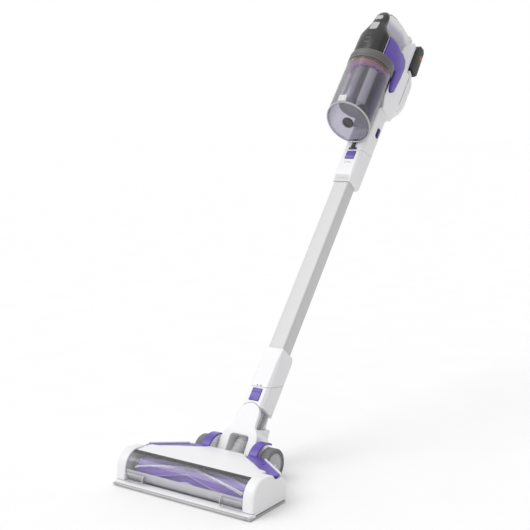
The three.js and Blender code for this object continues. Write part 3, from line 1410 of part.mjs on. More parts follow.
piece(handheld, "main_housing", mainHousing(), "white");
piece(handheld, "inlet_spigot", inletSpigot(), "white");
piece(handheld, "grip_handle", gripHandle(), "white");
piece(handheld, "motor_housing", motorHousing(), "white");
piece(handheld, "suction_motor", suctionMotor(), "steel");
piece(handheld, "motor_fan", motorFan(), "alloy");
for (const [name, side] of SIDES) piece(handheld, `side_panel_${name}`, onSide(sidePanel(), side), "purple");
piece(handheld, "control_cover", topCover(), "black");
piece(handheld, "power_button", controlButton(POWER_BUTTON), "paleGrey");
piece(handheld, "boost_button", controlButton(BOOST_BUTTON), "paleGrey");
piece(handheld, "circuit_board", circuitBoard(), "board");
piece(handheld, "grip_strip", gripStrip(), "black");
piece(handheld, "bin_release_button", binButton(), "purple");

// ---------------------------------------------------------------- battery
const BATTERY_FRONT_Y = FOOT_BACK_Y + GAP;

function batteryPack() {
  const top = BATTERY_BOTTOM_S + BATTERY_HEIGHT;
  const back = BATTERY_FRONT_Y + BATTERY_DEPTH;
  const profile = [
    [BATTERY_FRONT_Y, BATTERY_BOTTOM_S + 4],
    [back - 6, BATTERY_BOTTOM_S],
    [back, BATTERY_BOTTOM_S + 8],
    [back - 4, top - 8],
    [back - 12, top],
    [BATTERY_FRONT_Y + 8, top - 4],
    [BATTERY_FRONT_Y, top - 14],
  ];
  const pack = alongX(profile, -BATTERY_WIDTH / 2, BATTERY_WIDTH / 2, 3);
  return cut(pack, stripePocket(GAP), batteryButtonPocket());
}

function stripePocket(growth) {
  const back = BATTERY_FRONT_Y + BATTERY_DEPTH;
  const half = BATTERY_WIDTH / 2;
  const middle = BATTERY_BOTTOM_S + BATTERY_HEIGHT * 0.66;
  const reach = BATTERY_STRIPE_WIDTH / 2 + growth;
  return block(half - 1.5 - growth, half + 1, back - 16, back - 5, middle - reach, middle + reach);
}

const batteryStripe = () => {
  const half = BATTERY_WIDTH / 2;
  const back = BATTERY_FRONT_Y + BATTERY_DEPTH;
  const middle = BATTERY_BOTTOM_S + BATTERY_HEIGHT * 0.66;
  const reach = BATTERY_STRIPE_WIDTH / 2;
  return block(half - 1.5, half - 0.1, back - 16 + GAP, back - 5 - GAP, middle - reach, middle + reach);
};

function batteryButtonPocket() {
  const back = BATTERY_FRONT_Y + BATTERY_DEPTH;
  const z = BATTERY_BOTTOM_S + 24;
  return block(-15 - PRESS, 15 + PRESS, back - 10, back + 5, z - 6 - PRESS, z + 6 + PRESS);
}

function batteryButton() {
  const back = BATTERY_FRONT_Y + BATTERY_DEPTH;
  const z = BATTERY_BOTTOM_S + 24;
  return block(-15, 15, back - 6.5, back - 0.2, z - 6, z + 6);
}

piece(handheld, "battery_pack", batteryPack(), "black");
piece(handheld, "battery_stripe", batteryStripe(), "orange");
piece(handheld, "battery_release_button", batteryButton(), "black");

export default vacuum;
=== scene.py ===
import json
import math
import random

import bmesh
import bpy
from mathutils import Matrix, Vector

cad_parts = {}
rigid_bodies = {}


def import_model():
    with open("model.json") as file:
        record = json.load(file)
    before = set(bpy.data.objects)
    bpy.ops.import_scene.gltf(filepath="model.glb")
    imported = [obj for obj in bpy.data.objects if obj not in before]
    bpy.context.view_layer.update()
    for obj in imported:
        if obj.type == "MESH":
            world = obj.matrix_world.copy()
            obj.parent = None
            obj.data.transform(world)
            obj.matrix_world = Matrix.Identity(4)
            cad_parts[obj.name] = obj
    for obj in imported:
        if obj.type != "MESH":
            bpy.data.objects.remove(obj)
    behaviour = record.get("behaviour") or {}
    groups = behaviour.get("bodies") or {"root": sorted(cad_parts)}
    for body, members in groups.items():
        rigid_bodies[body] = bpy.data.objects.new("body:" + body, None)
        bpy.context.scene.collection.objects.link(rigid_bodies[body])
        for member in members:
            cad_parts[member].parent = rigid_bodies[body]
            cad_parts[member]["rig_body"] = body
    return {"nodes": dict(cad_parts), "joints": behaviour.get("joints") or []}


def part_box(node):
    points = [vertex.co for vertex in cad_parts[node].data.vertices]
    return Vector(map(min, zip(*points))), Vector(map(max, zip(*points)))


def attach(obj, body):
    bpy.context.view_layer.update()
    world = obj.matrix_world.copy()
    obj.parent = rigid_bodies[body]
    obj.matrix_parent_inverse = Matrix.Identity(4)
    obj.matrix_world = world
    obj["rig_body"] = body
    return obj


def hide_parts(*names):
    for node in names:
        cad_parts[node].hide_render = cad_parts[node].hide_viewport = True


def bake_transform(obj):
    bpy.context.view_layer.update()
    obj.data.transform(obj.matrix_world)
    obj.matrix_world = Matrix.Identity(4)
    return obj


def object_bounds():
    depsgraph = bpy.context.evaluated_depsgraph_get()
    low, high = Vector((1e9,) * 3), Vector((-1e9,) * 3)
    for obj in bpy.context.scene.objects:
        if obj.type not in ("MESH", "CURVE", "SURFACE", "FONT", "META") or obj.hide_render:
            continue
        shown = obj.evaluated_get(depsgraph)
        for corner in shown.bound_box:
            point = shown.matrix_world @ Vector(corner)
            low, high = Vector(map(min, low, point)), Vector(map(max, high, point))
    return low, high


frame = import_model()
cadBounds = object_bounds()
nodes = frame["nodes"]
joints = {joint["name"]: joint for joint in frame["joints"]}

# shapes are drawn in millimetres in two places: the floor head's, with y = 0 at its front edge,
# and the stick's, with z running up the stick from the wheel axle and y towards the user
mm = 0.001
pivot = Vector(joints["head_recline"]["pos_m"])
stickUp = Vector(joints["battery_slide"]["axis"]).normalized()
recline = math.atan2(stickUp.y, stickUp.z)
headPlace = Matrix.Translation((0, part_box("front_bumper")[0].y, 0)) @ Matrix.Scale(mm, 4)
stickPlace = Matrix.Translation(pivot) @ Matrix.Rotation(-recline, 4, "X") @ Matrix.Scale(mm, 4)


def boxIn(place, node):  # lowest and highest corner of a CAD node in one of the two places
    back = place.inverted()
    points = [back @ vertex.co for vertex in nodes[node].data.vertices]
    low = Vector([min(p[i] for p in points) for i in range(3)])
    high = Vector([max(p[i] for p in points) for i in range(3)])
    return low, high


# finishes

def newMaterial(name):
    material = bpy.data.materials.new(name)
    material.use_nodes = True
    tree = material.node_tree
    return material, tree, tree.nodes["Principled BSDF"]


def addNode(tree, kind, inputs=None, **settings):
    node = tree.nodes.new(kind)
    for key, value in settings.items():
        setattr(node, key, value)
    for key, value in (inputs or {}).items():
        socket = node.inputs[key]
        if kind == "ShaderNodeMix" and key in ("A", "B"):
            socket = next(s for s in node.inputs if s.name == key and s.type == "RGBA")
        if isinstance(value, bpy.types.NodeSocket):
            tree.links.new(value, socket)
        else:
            socket.default_value = value
    return node


def colourOf(mix):  # a mix node's colour output
    return next(socket for socket in mix.outputs if socket.type == "RGBA")


def objectPoint(tree, scale=(1, 1, 1), turn=(0, 0, 0)):
    coordinates = addNode(tree, "ShaderNodeTexCoord")
    return addNode(
        tree, "ShaderNodeMapping", {"Vector": coordinates.outputs["Object"], "Scale": scale, "Rotation": turn}
    ).outputs["Vector"]


def stickPoint(tree, centre=(0, 0, 0)):  # the same, in metres in the stick's own place
    coordinates = addNode(tree, "ShaderNodeTexCoord")
    shift = Matrix.Rotation(recline, 3, "X") @ -pivot - Vector(centre) * mm
    return addNode(
        tree, "ShaderNodeMapping",
        {"Vector": coordinates.outputs["Object"], "Location": shift, "Rotation": (recline, 0, 0)},
    ).outputs["Vector"]


def noise(tree, point, scale, detail=2.0, roughness=0.5):
    return addNode(
        tree, "ShaderNodeTexNoise",
        {"Vector": point, "Scale": scale, "Detail": detail, "Roughness": roughness},
    ).outputs["Fac"]


def ramp(tree, fac, stops):
    node = addNode(tree, "ShaderNodeValToRGB", {"Fac": fac})
    elements = node.color_ramp.elements
    while len(elements) < len(stops):
        elements.new(0.5)
    for element, (position, colour) in zip(elements, stops):
        element.position = position
        element.color = (*colour, 1) if len(colour) == 3 else colour
    return node.outputs["Color"]


def spread(tree, fac, low, high):
    node = addNode(tree, "ShaderNodeMapRange", {"Value": fac, "To Min": low, "To Max": high})
    return node.outputs["Result"]


def bump(tree, shader, height, strength, distance=0.0003):
    node = addNode(tree, "ShaderNodeBump", {"Height": height, "Strength": strength, "Distance": distance})
    tree.links.new(node.outputs["Normal"], shader.inputs["Normal"])


# moulded plastic: soft tone changes over the part, fine grain in gloss and surface
def mouldedPlastic(name, colour, shade, gloss=(0.28, 0.4), grain=1400, relief=0.12, coat=0.0, metal=0.0):
    material, tree, shader = newMaterial(name)
    point = objectPoint(tree)
    tone = ramp(tree, noise(tree, point, 7, 3), [(0.3, shade), (0.62, colour)])
    tree.links.new(tone, shader.inputs["Base Color"])
    fine = noise(tree, point, grain, 2)
    tree.links.new(spread(tree, noise(tree, point, 60, 3), *gloss), shader.inputs["Roughness"])
    bump(tree, shader, fine, relief, 0.00008)
    shader.inputs["Metallic"].default_value = metal
    shader.inputs["Coat Weight"].default_value = coat
    shader.inputs["Coat Roughness"].default_value = 0.12
    return material


# see-through plastic: clear face on, darker and shinier towards its edges, with a little haze in it
def clearPlastic(name, faceTint, edgeTint, haze=0.04, hazeColour=(0.8, 0.8, 0.82), gloss=0.05):
    material, tree, shader = newMaterial(name)
    tree.nodes.remove(shader)
    point = objectPoint(tree)
    facing = addNode(tree, "ShaderNodeLayerWeight", {"Blend": 0.3}).outputs["Facing"]
    cloudy = noise(tree, point, 30, 3)
    uneven = spread(tree, cloudy, 0.9, 1.1)
    depth = addNode(tree, "ShaderNodeMath", {0: facing, 1: uneven}, operation="MULTIPLY")
    tint = ramp(tree, depth.outputs["Value"], [(0.2, faceTint), (0.95, edgeTint)])
    through = addNode(tree, "ShaderNodeBsdfTransparent", {"Color": tint})
    veil = addNode(tree, "ShaderNodeBsdfDiffuse", {"Color": (*hazeColour, 1)})
    body = addNode(
        tree, "ShaderNodeMixShader",
        {0: spread(tree, cloudy, haze * 0.8, haze * 1.2), 1: through.outputs[0], 2: veil.outputs[0]},
    )
    shine = addNode(tree, "ShaderNodeBsdfGlossy", {"Color": (0.9, 0.9, 0.9, 1), "Roughness": gloss})
    waves = noise(tree, point, 90, 2)
    ripple = addNode(tree, "ShaderNodeBump", {"Height": waves, "Strength": 0.05, "Distance": 0.0005})
    tree.links.new(ripple.outputs["Normal"], shine.inputs["Normal"])
    steep = addNode(tree, "ShaderNodeLayerWeight", {"Blend": 0.5}).outputs["Facing"]
    edge = addNode(tree, "ShaderNodeMath", {0: steep, 1: 3.0}, operation="POWER")
    shone = spread(tree, edge.outputs["Value"], 0.03, 0.6)
    mix = addNode(tree, "ShaderNodeMixShader", {0: shone, 1: body.outputs[0], 2: shine.outputs[0]})
    tree.links.new(mix.outputs[0], tree.nodes["Material Output"].inputs["Surface"])
    return material


# metal with fine lines along the stick, or round a turned part when across is set
def brushedMetal(name, colour, shade, gloss=(0.25, 0.4), across=False, metal=0.9, relief=0.15):
    material, tree, shader = newMaterial(name)
    stretch = (40, 40, 900) if across else (900, 900, 8)
    point = objectPoint(tree, stretch, (recline, 0, 0))
    lines = noise(tree, point, 1, 3, 0.6)
    tree.links.new(ramp(tree, lines, [(0.3, shade), (0.7, colour)]), shader.inputs["Base Color"])
    tree.links.new(spread(tree, lines, *gloss), shader.inputs["Roughness"])
    bump(tree, shader, lines, relief, 0.00005)
    shader.inputs["Metallic"].default_value = metal
    return material


# perforated steel of the cyclone: rows of fine holes, and tall bands of painted reflection and painted shade
# round it
def perforatedSteel(name, centre):
    material, tree, shader = newMaterial(name)
    point = stickPoint(tree, centre)
    holes = addNode(
        tree, "ShaderNodeTexVoronoi", {"Vector": point, "Scale": 900, "Randomness": 0.1}, feature="F1"
    ).outputs["Distance"]
    around = addNode(tree, "ShaderNodeTexGradient", {"Vector": point}, gradient_type="RADIAL").outputs["Fac"]
    # painted light by angle round the axis: the pale bands are painted reflections, the dark ones painted
    # shade
    reflectionAndShadeBands = ramp(tree, around, [
        (0.1, (0.05, 0.045, 0.07)), (0.13, (0.2, 0.19, 0.23)), (0.27, (0.17, 0.165, 0.2)),
        (0.295, (0.03, 0.025, 0.05)), (0.335, (0.035, 0.03, 0.05)), (0.352, (0.62, 0.61, 0.66)),
        (0.42, (0.5, 0.49, 0.54)), (0.447, (0.04, 0.03, 0.09)), (0.6, (0.03, 0.025, 0.07))])
    holed = addNode(
        tree, "ShaderNodeMix", {"Factor": ramp(tree, holes, [(0.16, (0.35, 0.35, 0.35)), (0.3, (1, 1, 1))]),
                                "A": (0.02, 0.02, 0.03, 1), "B": reflectionAndShadeBands}, data_type="RGBA")
    tree.links.new(colourOf(holed), shader.inputs["Base Color"])
    tree.links.new(spread(tree, noise(tree, point, 200), 0.3, 0.4), shader.inputs["Roughness"])
    bump(tree, shader, holes, 0.15, 0.0002)
    shader.inputs["Metallic"].default_value = 0.25
    return material


# rubber: matt, with a pebbled skin
def pebbledRubber(name, colour, shade, scale=900):
    material, tree, shader = newMaterial(name)
    point = objectPoint(tree)
    pebbles = addNode(tree, "ShaderNodeTexVoronoi", {"Vector": point, "Scale": scale}).outputs["Distance"]
    tone = ramp(tree, noise(tree, point, 40, 4), [(0.3, shade), (0.7, colour)])
    tree.links.new(tone, shader.inputs["Base Color"])
    tree.links.new(spread(tree, pebbles, 0.5, 0.75), shader.inputs["Roughness"])
    bump(tree, shader, pebbles, 0.35, 0.0003)
    return material


# nylon pile of the brush roll
def bristlePile(name, colour, shade):
    material, tree, shader = newMaterial(name)
    point = objectPoint(tree)
    pile = noise(tree, point, 1500, 4, 0.7)
    tree.links.new(ramp(tree, pile, [(0.35, shade), (0.62, colour)]), shader.inputs["Base Color"])
    shader.inputs["Roughness"].default_value = 0.7
    shader.inputs["Sheen Weight"].default_value = 0.4
    shader.inputs["Sheen Roughness"].default_value = 0.4
    bump(tree, shader, pile, 0.6, 0.0008)
    return material


# heat-tinted metal of the filter ring: copper at the top, violet below
def tintedCopper(name, lowHeight, highHeight):
    material, tree, shader = newMaterial(name)
    coordinates = addNode(tree, "ShaderNodeTexCoord")
    point = coordinates.outputs["Object"]
    height = addNode(tree, "ShaderNodeVectorMath", {0: point, 1: stickUp}, operation="DOT_PRODUCT")
    rise = addNode(
        tree, "ShaderNodeMapRange",
        {"Value": height.outputs["Value"], "From Min": lowHeight, "From Max": highHeight},
    ).outputs["Result"]
    bands = [(0.0, (0.3, 0.12, 0.42)), (0.3, (0.62, 0.3, 0.55)), (0.55, (0.5, 0.13, 0.1)),
             (0.9, (0.33, 0.07, 0.04))]
    tree.links.new(ramp(tree, rise, bands), shader.inputs["Base Color"])
    tree.links.new(spread(tree, noise(tree, point, 120), 0.2, 0.4), shader.inputs["Roughness"])
    shader.inputs["Metallic"].default_value = 0.7
    return material


violet = {"base": (0.115, 0.062, 0.42), "shade": (0.09, 0.045, 0.34), "dark": (0.03, 0.012, 0.15)}
white = mouldedPlastic("whitePlastic", (0.8, 0.8, 0.81), (0.77, 0.77, 0.785), (0.26, 0.36))
innerWhite = mouldedPlastic("innerWhitePlastic", (0.66, 0.66, 0.68), (0.6, 0.6, 0.63), (0.35, 0.5))
purple = mouldedPlastic("violetPlastic", violet["base"], violet["shade"], (0.24, 0.34), 1200, 0.1, coat=0.25)


# white plastic with painted shade: a lilac grey mixed in where a mesh's "tone" attribute rises
def shadePaintedPlastic(name, tint):
    material = mouldedPlastic(name, (0.8, 0.8, 0.81), (0.77, 0.77, 0.785), (0.26, 0.36))
    tree = material.node_tree
    base = tree.nodes["Principled BSDF"].inputs["Base Color"]
    plain = base.links[0].from_socket
    tone = addNode(tree, "ShaderNodeAttribute", attribute_name="tone").outputs["Fac"]
    mixed = addNode(tree, "ShaderNodeMix", {"Factor": tone, "A": plain, "B": (*tint, 1)}, data_type="RGBA")
    tree.links.new(colourOf(mixed), base)
    return material


# the lilac grey is painted shade for the finger opening's inside and the bar's underside
shadedWhite = shadePaintedPlastic("shadedWhitePlastic", (0.42, 0.405, 0.49))
darkPurple = mouldedPlastic("deepVioletPlastic", violet["dark"], (0.02, 0.008, 0.12), (0.25, 0.35))
black = mouldedPlastic(
    "glossBlackPlastic", (0.012, 0.012, 0.012), (0.008, 0.008, 0.008), (0.16, 0.24), coat=0.1)
satinBlack = mouldedPlastic("satinBlackPlastic", (0.022, 0.022, 0.024), (0.014, 0.014, 0.016), (0.3, 0.42))
ringGrey = mouldedPlastic("ringGreyPlastic", (0.125, 0.12, 0.117), (0.105, 0.1, 0.1), (0.34, 0.46))
darkGrey = mouldedPlastic("darkGreyPlastic", (0.07, 0.07, 0.075), (0.05, 0.05, 0.055), (0.3, 0.4))
paleGrey = mouldedPlastic("paleGreyPlastic", (0.46, 0.46, 0.47), (0.4, 0.4, 0.41), (0.35, 0.5))
buttonGrey = pebbledRubber("buttonRubber", (0.5, 0.5, 0.51), (0.4, 0.4, 0.42), 1600)
rubber = pebbledRubber("tyreRubber", (0.19, 0.19, 0.195), (0.14, 0.14, 0.145), 1100)
pile = bristlePile("violetPile", (0.3, 0.2, 0.62), (0.12, 0.06, 0.36))
tuft = bristlePile("whiteTuft", (0.9, 0.9, 0.92), (0.62, 0.62, 0.68))
blade = mouldedPlastic("mauveBlade", (0.42, 0.33, 0.6), (0.33, 0.25, 0.5), (0.3, 0.45))
tubeAlloy = brushedMetal("anodisedTube", (0.6, 0.6, 0.605), (0.55, 0.55, 0.555), (0.36, 0.46), metal=0.1)
steel = brushedMetal("brushedSteel", (0.6, 0.61, 0.63), (0.45, 0.46, 0.48), across=True)
smoke = clearPlastic("smokePlastic", (0.88, 0.87, 0.9), (0.2, 0.19, 0.24), 0.04)
lidSmoke = clearPlastic("lidPlastic", (0.84, 0.825, 0.88), (0.3, 0.29, 0.35), 0.15, (0.62, 0.61, 0.67))
clear = clearPlastic("windowPlastic", (0.965, 0.965, 0.975), (0.5, 0.5, 0.54), 0.03)
guardHaze = clearPlastic("guardPlastic", (0.9, 0.9, 0.9), (0.6, 0.6, 0.6), 0.7, (0.86, 0.86, 0.86), 0.2)
orange = mouldedPlastic("orangePlastic", (0.62, 0.1, 0.03), (0.5, 0.07, 0.02))
paper = bristlePile("filterPaper", (0.8, 0.78, 0.72), (0.62, 0.6, 0.54))
board = mouldedPlastic("boardGreen", (0.02, 0.16, 0.07), (0.015, 0.11, 0.05))
print("materials ready")


# pieces are made and placed by these

def addPiece(name, bm, body, material, place, stands=(), sharp=35):
    bm.transform(place)
    data = bpy.data.meshes.new(name)
    bm.to_mesh(data)
    bm.free()
    return showPiece(name, data, body, material, stands, sharp)


def showPiece(name, data, body, material, stands=(), sharp=35):
    data.shade_smooth()
    data.set_sharp_from_angle(angle=math.radians(sharp))
    data.materials.clear()
    data.materials.append(material)
    item = bpy.data.objects.new(name, data)
    bpy.context.scene.collection.objects.link(item)
    if body:  # a piece that bends across a joint rides on none
        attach(item, body)
    if stands:
        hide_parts(*stands)
    return item


def withModifiers(data, makeModifiers):  # a mesh after its modifiers
    holder = bpy.data.objects.new("holder", data)
    bpy.context.scene.collection.objects.link(holder)
    makeModifiers(holder)
    graph = bpy.context.evaluated_depsgraph_get()
    result = bpy.data.meshes.new_from_object(holder.evaluated_get(graph))
    bpy.data.objects.remove(holder)
    return result


# a node's solid with every edge rounded, as a moulding has
def moulded(node, material, voxel=1.2, passes=6, sharp=70, others=()):
    copy = nodes[node].data.copy()
    if others:  # closes the seam between solids that meet
        both = bmesh.new()
        for name in (node, *others):
            both.from_mesh(nodes[name].data)
        both.to_mesh(copy)
        both.free()

    def soften(holder):
        remesh = holder.modifiers.new("remesh", "REMESH")
        remesh.mode = "VOXEL"
        remesh.voxel_size = voxel * mm
        smooth = holder.modifiers.new("smooth", "SMOOTH")
        smooth.factor = 0.5
        smooth.iterations = passes

    data = withModifiers(copy, soften)
    data.name = node
    return showPiece(pieceName(node), data, nodes[node]["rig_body"], material, (node, *others), sharp)


def pieceName(node):  # head_shell becomes headShellSkin
    first, *rest = node.split("_")
    return first + "".join(word.capitalize() for word in rest) + "Skin"


# a node's solid with its sharp edges bevelled
def bevelled(node, material, width=0.8, segments=3, corner=25, sharp=30):
    bm = bmesh.new()
    bm.from_mesh(nodes[node].data)
    bmesh.ops.remove_doubles(bm, verts=bm.verts, dist=1e-6)
    bmesh.ops.dissolve_limit(bm, angle_limit=math.radians(2), verts=bm.verts, edges=bm.edges)
    edges = [e for e in bm.edges if len(e.link_faces) == 2 and e.calc_face_angle() > math.radians(corner)]
    bevelEdges(bm, edges, width * mm, segments)
    return addPiece(
        pieceName(node), bm, nodes[node]["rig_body"], material, Matrix.Identity(4), (node,), sharp
    )


def bevelEdges(bm, edges, width, segments):
    bmesh.ops.bevel(
        bm, geom=edges, offset=width, offset_type="OFFSET", segments=segments, profile=0.5,
        affect="EDGES", clamp_overlap=True, material=-1,
    )


# turns an outline of (radius, height) about Z; the outline may close on itself
def turned(outline, steps=96, angle=360, closed=False):
    bm = bmesh.new()
    points = [bm.verts.new((radius, 0, height)) for radius, height in outline]
    pairs = list(zip(points, points[1:])) + ([(points[-1], points[0])] if closed else [])
    edges = [bm.edges.new(pair) for pair in pairs]
    bmesh.ops.spin(
        bm, geom=points + edges, cent=(0, 0, 0), axis=(0, 0, 1), dvec=(0, 0, 0),
        angle=math.radians(angle), steps=steps, use_merge=angle == 360, use_duplicate=False,
    )
    bmesh.ops.remove_doubles(bm, verts=bm.verts, dist=1e-4)
    bmesh.ops.recalc_face_normals(bm, faces=bm.faces)
    return bm


# closed loops one above another, joined into a skin; shape gives a loop's point for a turn from 0 to 1
def lofted(levels, shape, segments=64, cap=True):
    bm = bmesh.new()
    loops = []
    for level in levels:
        loop = bmesh.ops.create_circle(bm, cap_ends=False, radius=1, segments=segments)["verts"]
        for index, vertex in enumerate(loop):
            vertex.co = shape(level, index / segments)
        loops.append(loop)
    rims = [list({e for v in loop for e in v.link_edges}) for loop in loops]
    for low, high in zip(rims, rims[1:]):
        bmesh.ops.bridge_loops(bm, edges=low + high)
    if cap:
        bmesh.ops.contextual_create(bm, geom=rims[0])
        bmesh.ops.contextual_create(bm, geom=rims[-1])
    bmesh.ops.recalc_face_normals(bm, faces=bm.faces)
    return bm


# a flat outline drawn out along an axis, with rounded edges
def slab(outline, axis, low, high, width=0.0, segments=3):
    turns = {
        "x": lambda a, b, c: (c, a, b), "y": lambda a, b, c: (a, c, b), "z": lambda a, b, c: (a, b, c),
    }
    place = turns[axis]
    bm = bmesh.new()
    face = bm.faces.new([bm.verts.new(place(a, b, low)) for a, b in outline])
    out = bmesh.ops.extrude_face_region(bm, geom=[face])
    raised = [v for v in out["geom"] if isinstance(v, bmesh.types.BMVert)]
    bmesh.ops.translate(bm, verts=raised, vec=place(0, 0, high - low))
    bmesh.ops.recalc_face_normals(bm, faces=bm.faces)
    if width:
        bevelEdges(bm, [e for e in bm.edges if e.calc_face_angle() > math.radians(25)], width, segments)
    return bm


def between(stops, place):  # smooth value from a few (place, value) stops
    if place <= stops[0][0]:
        return stops[0][1]
    for (a, low), (b, high) in zip(stops, stops[1:]):
        if place <= b:
            t = (place - a) / (b - a)
            return low + (high - low) * t * t * (3 - 2 * t)
    return stops[-1][1]


def straight(stops, place):  # the same along straight lines
    if place <= stops[0][0]:
        return stops[0][1]
    for (a, low), (b, high) in zip(stops, stops[1:]):
        if place <= b:
            return low + (high - low) * (place - a) / (b - a)
    return stops[-1][1]


def merged(target, source, place=Matrix.Identity(4)):  # adds one bmesh to another
    data = bpy.data.meshes.new("part")
    source.transform(place)
    source.to_mesh(data)
    source.free()
    target.from_mesh(data)
    bpy.data.meshes.remove(data)


def moved(x, y, z):
    return Matrix.Translation((x, y, z))


sides = (("left", -1), ("right", 1))


# the floor head's own pieces, drawn in its place

def makeWheel(side, sign):
    low, high = boxIn(headPlace, f"wheel_tyre_{side}")
    centre = Vector((0, (low.y + high.y) / 2, (low.z + high.z) / 2))
    inner, outer = (low.x, high.x) if sign > 0 else (-high.x, -low.x)
    radius = (high.z - low.z) / 2
    wheel = {"tyreDepth": 8.5, "shoulder": 3.0, "hub": 18.0, "dish": 2.2, "ribs": 0.35}
    rim = radius - wheel["tyreDepth"]
    place = headPlace @ Matrix.Translation(centre) @ Matrix.Rotation(sign * math.pi / 2, 4, "Y")
    shoulder = wheel["shoulder"]
    arc = [(radius - shoulder + shoulder * math.sin(a), outer - shoulder + shoulder * math.cos(a))
           for a in [math.pi / 2 * i / 6 for i in range(7)]]
    tyre = turned(
        [(rim, inner), (radius - 1, inner), (radius, inner + 1)] + arc[::-1]
        + [(rim + 3, outer), (rim + 1.2, outer - 0.6), (rim, outer - 1.6)], 128, closed=True,
    )
    addPiece(f"tyre_{side}", tyre, f"wheel_{side}", rubber, place, (f"wheel_tyre_{side}",), 50)
    hub = turned(
        [(4.2, inner + 1), (rim - 0.2, inner + 1), (rim - 0.2, outer - 2.2), (rim - 1, outer - 1.4),
         (rim - 2.2, outer - 1.4), (rim - 3.0, outer - 2.4), (wheel["hub"] - 1, outer - 1.6),
         (10, outer - 0.9), (5.5, outer - 0.7), (4.2, outer - 0.9)], 96, closed=True,
    )
    addPiece(f"hub_{side}", hub, f"wheel_{side}", paleGrey, place, (f"wheel_hub_{side}",), 35)
    cap = turned(
        [(0, outer - 0.3), (3.4, outer - 0.35), (4.0, outer - 0.8), (4.0, outer - 2.4), (0, outer - 2.4)], 48)
    addPiece(f"axleCap_{side}", cap, f"wheel_{side}", innerWhite, place)


for side, sign in sides:
    makeWheel(side, sign)
    moulded(f"end_cap_{side}", white, 1.2, 8)
    moulded(f"wing_cover_{side}", purple, 1.0, 6)
moulded("head_shell", white, 1.5, 6)
bevelled("front_bumper", white, 0.9)
print("head shell, caps, wings and wheels ready")


# a low ridge that follows a line on the head's plan
def ridge(name, line, width, low, high, body, material, rounding=0.25):
    bm = bmesh.new()
    for (ax, ay), (bx, by) in zip(line, line[1:]):
        along = Vector((bx - ax, by - ay)).normalized() * (width / 2)
        aside = Vector((-along.y, along.x))
        a, b = Vector((ax, ay)) - along, Vector((bx, by)) + along
        outline = [a - aside, b - aside, b + aside, a + aside]
        merged(bm, slab([tuple(point) for point in outline], "z", low, high, rounding, 2))
    return addPiece(name, bm, body, material, headPlace)


wing = {
    "seat": boxIn(headPlace, "wing_cover_right")[0].z, "thick": 5.0,
    "front": [(50.5, 141.5), (70, 126.4), (94, 108.2), (118.4, 89.9), (136, 87.2), (151, 85.2),
              (155.3, 91.5)],
    "rear": [(91.4, 147.9), (153.1, 103.0)],
}
for side, sign in sides:
    front = [(sign * x, y) for x, y in wing["front"]]
    rear = [(sign * x, y) for x, y in wing["rear"]]
    seat = wing["seat"]
    ridge(f"wingShadow_{side}", front, 1.3, seat + 0.2, seat + 3.4, "floor_head", darkPurple)
    ridge(f"wingTrim_{side}", rear, 3.6, seat + 2.0, seat + wing["thick"] + 2.4, "floor_head", white,
          0.6)

lipLow, lipHigh = boxIn(headPlace, "front_bumper")
channel = {"low": 5.2, "high": 7.6, "proud": 0.25, "half": lipHigh.x - 7, "deep": 3}
addPiece("bumperChannel", slab(
    [(-channel["half"], -channel["proud"]), (channel["half"], -channel["proud"]),
     (channel["half"], channel["deep"]), (-channel["half"], channel["deep"])],
    "z", channel["low"], channel["high"], 0.3), "floor_head", paleGrey, headPlace)
for side, sign in sides:
    pad = [(sign * (lipHigh.x - 16), 1), (sign * (lipHigh.x - 0.5), 1), (sign * (lipHigh.x - 0.5), 17),
           (sign * (lipHigh.x - 10), 17)]
    padSkin = slab(pad, "z", 1.2, lipLow.z + 0.4, 0.8)
    addPiece(f"cornerPad_{side}", padSkin, "floor_head", paleGrey, headPlace)

windowHigh = boxIn(headPlace, "brush_window")[1]
bristleLow, bristleHigh = boxIn(headPlace, "brush_bristles")
brushAxis = Vector((0, (bristleLow.y + bristleHigh.y) / 2, (bristleLow.z + bristleHigh.z) / 2))
window = {
    "radius": 32.0, "centreY": brushAxis.y - 1, "centreZ": brushAxis.z + 3.4, "wall": 2.2,
    "half": windowHigh.x, "top": 106, "bottom": 219, "bandTop": 91,
    "guardTop": 176, "guardGap": 0.4, "guardWall": 1.0,
}


# a sheet bent round the X axis between two angles, counted from the back over the top
def bentSheet(centreY, centreZ, radius, fromAngle, toAngle, left, right, thickness, steps=48):
    bm = bmesh.new()
    a = math.radians(fromAngle)
    y, z = centreY + radius * math.cos(a), centreZ + radius * math.sin(a)
    ends = [bm.verts.new((x, y, z)) for x in (left, right)]
    edge = bm.edges.new(ends)
    bmesh.ops.spin(
        bm, geom=ends + [edge], cent=(0, centreY, centreZ), axis=(1, 0, 0), dvec=(0, 0, 0),
        angle=math.radians(toAngle - fromAngle), steps=steps, use_merge=False, use_duplicate=False,
    )
    bmesh.ops.recalc_face_normals(bm, faces=bm.faces)
    outward = Vector((0, math.cos(a), math.sin(a)))
    first = min(bm.faces, key=lambda f: (f.calc_center_median() - ends[0].co).length)
    if first.normal.dot(outward) < 0:
        bmesh.ops.reverse_faces(bm, faces=bm.faces)
    bmesh.ops.solidify(bm, geom=bm.faces[:], thickness=thickness)
    return bm


glass = bentSheet(
    window["centreY"], window["centreZ"], window["radius"], window["top"], window["bottom"],
    -window["half"], window["half"], window["wall"],
)
addPiece("brushWindow", glass, "floor_head", clear, headPlace, ("brush_window",))
band = bentSheet(
    window["centreY"], window["centreZ"], window["radius"], window["bandTop"], window["top"] - 0.5,
    -window["half"], window["half"], window["wall"], 12,
)
addPiece("windowBand", band, "floor_head", black, headPlace, ("window_band",))
guard = bentSheet(
    window["centreY"], window["centreZ"], window["radius"] - window["wall"] - window["guardGap"],
    window["guardTop"], window["bottom"], -window["half"] + 1, window["half"] - 1, window["guardWall"], 24,
)
addPiece("brushGuard", guard, "floor_head", guardHaze, headPlace)

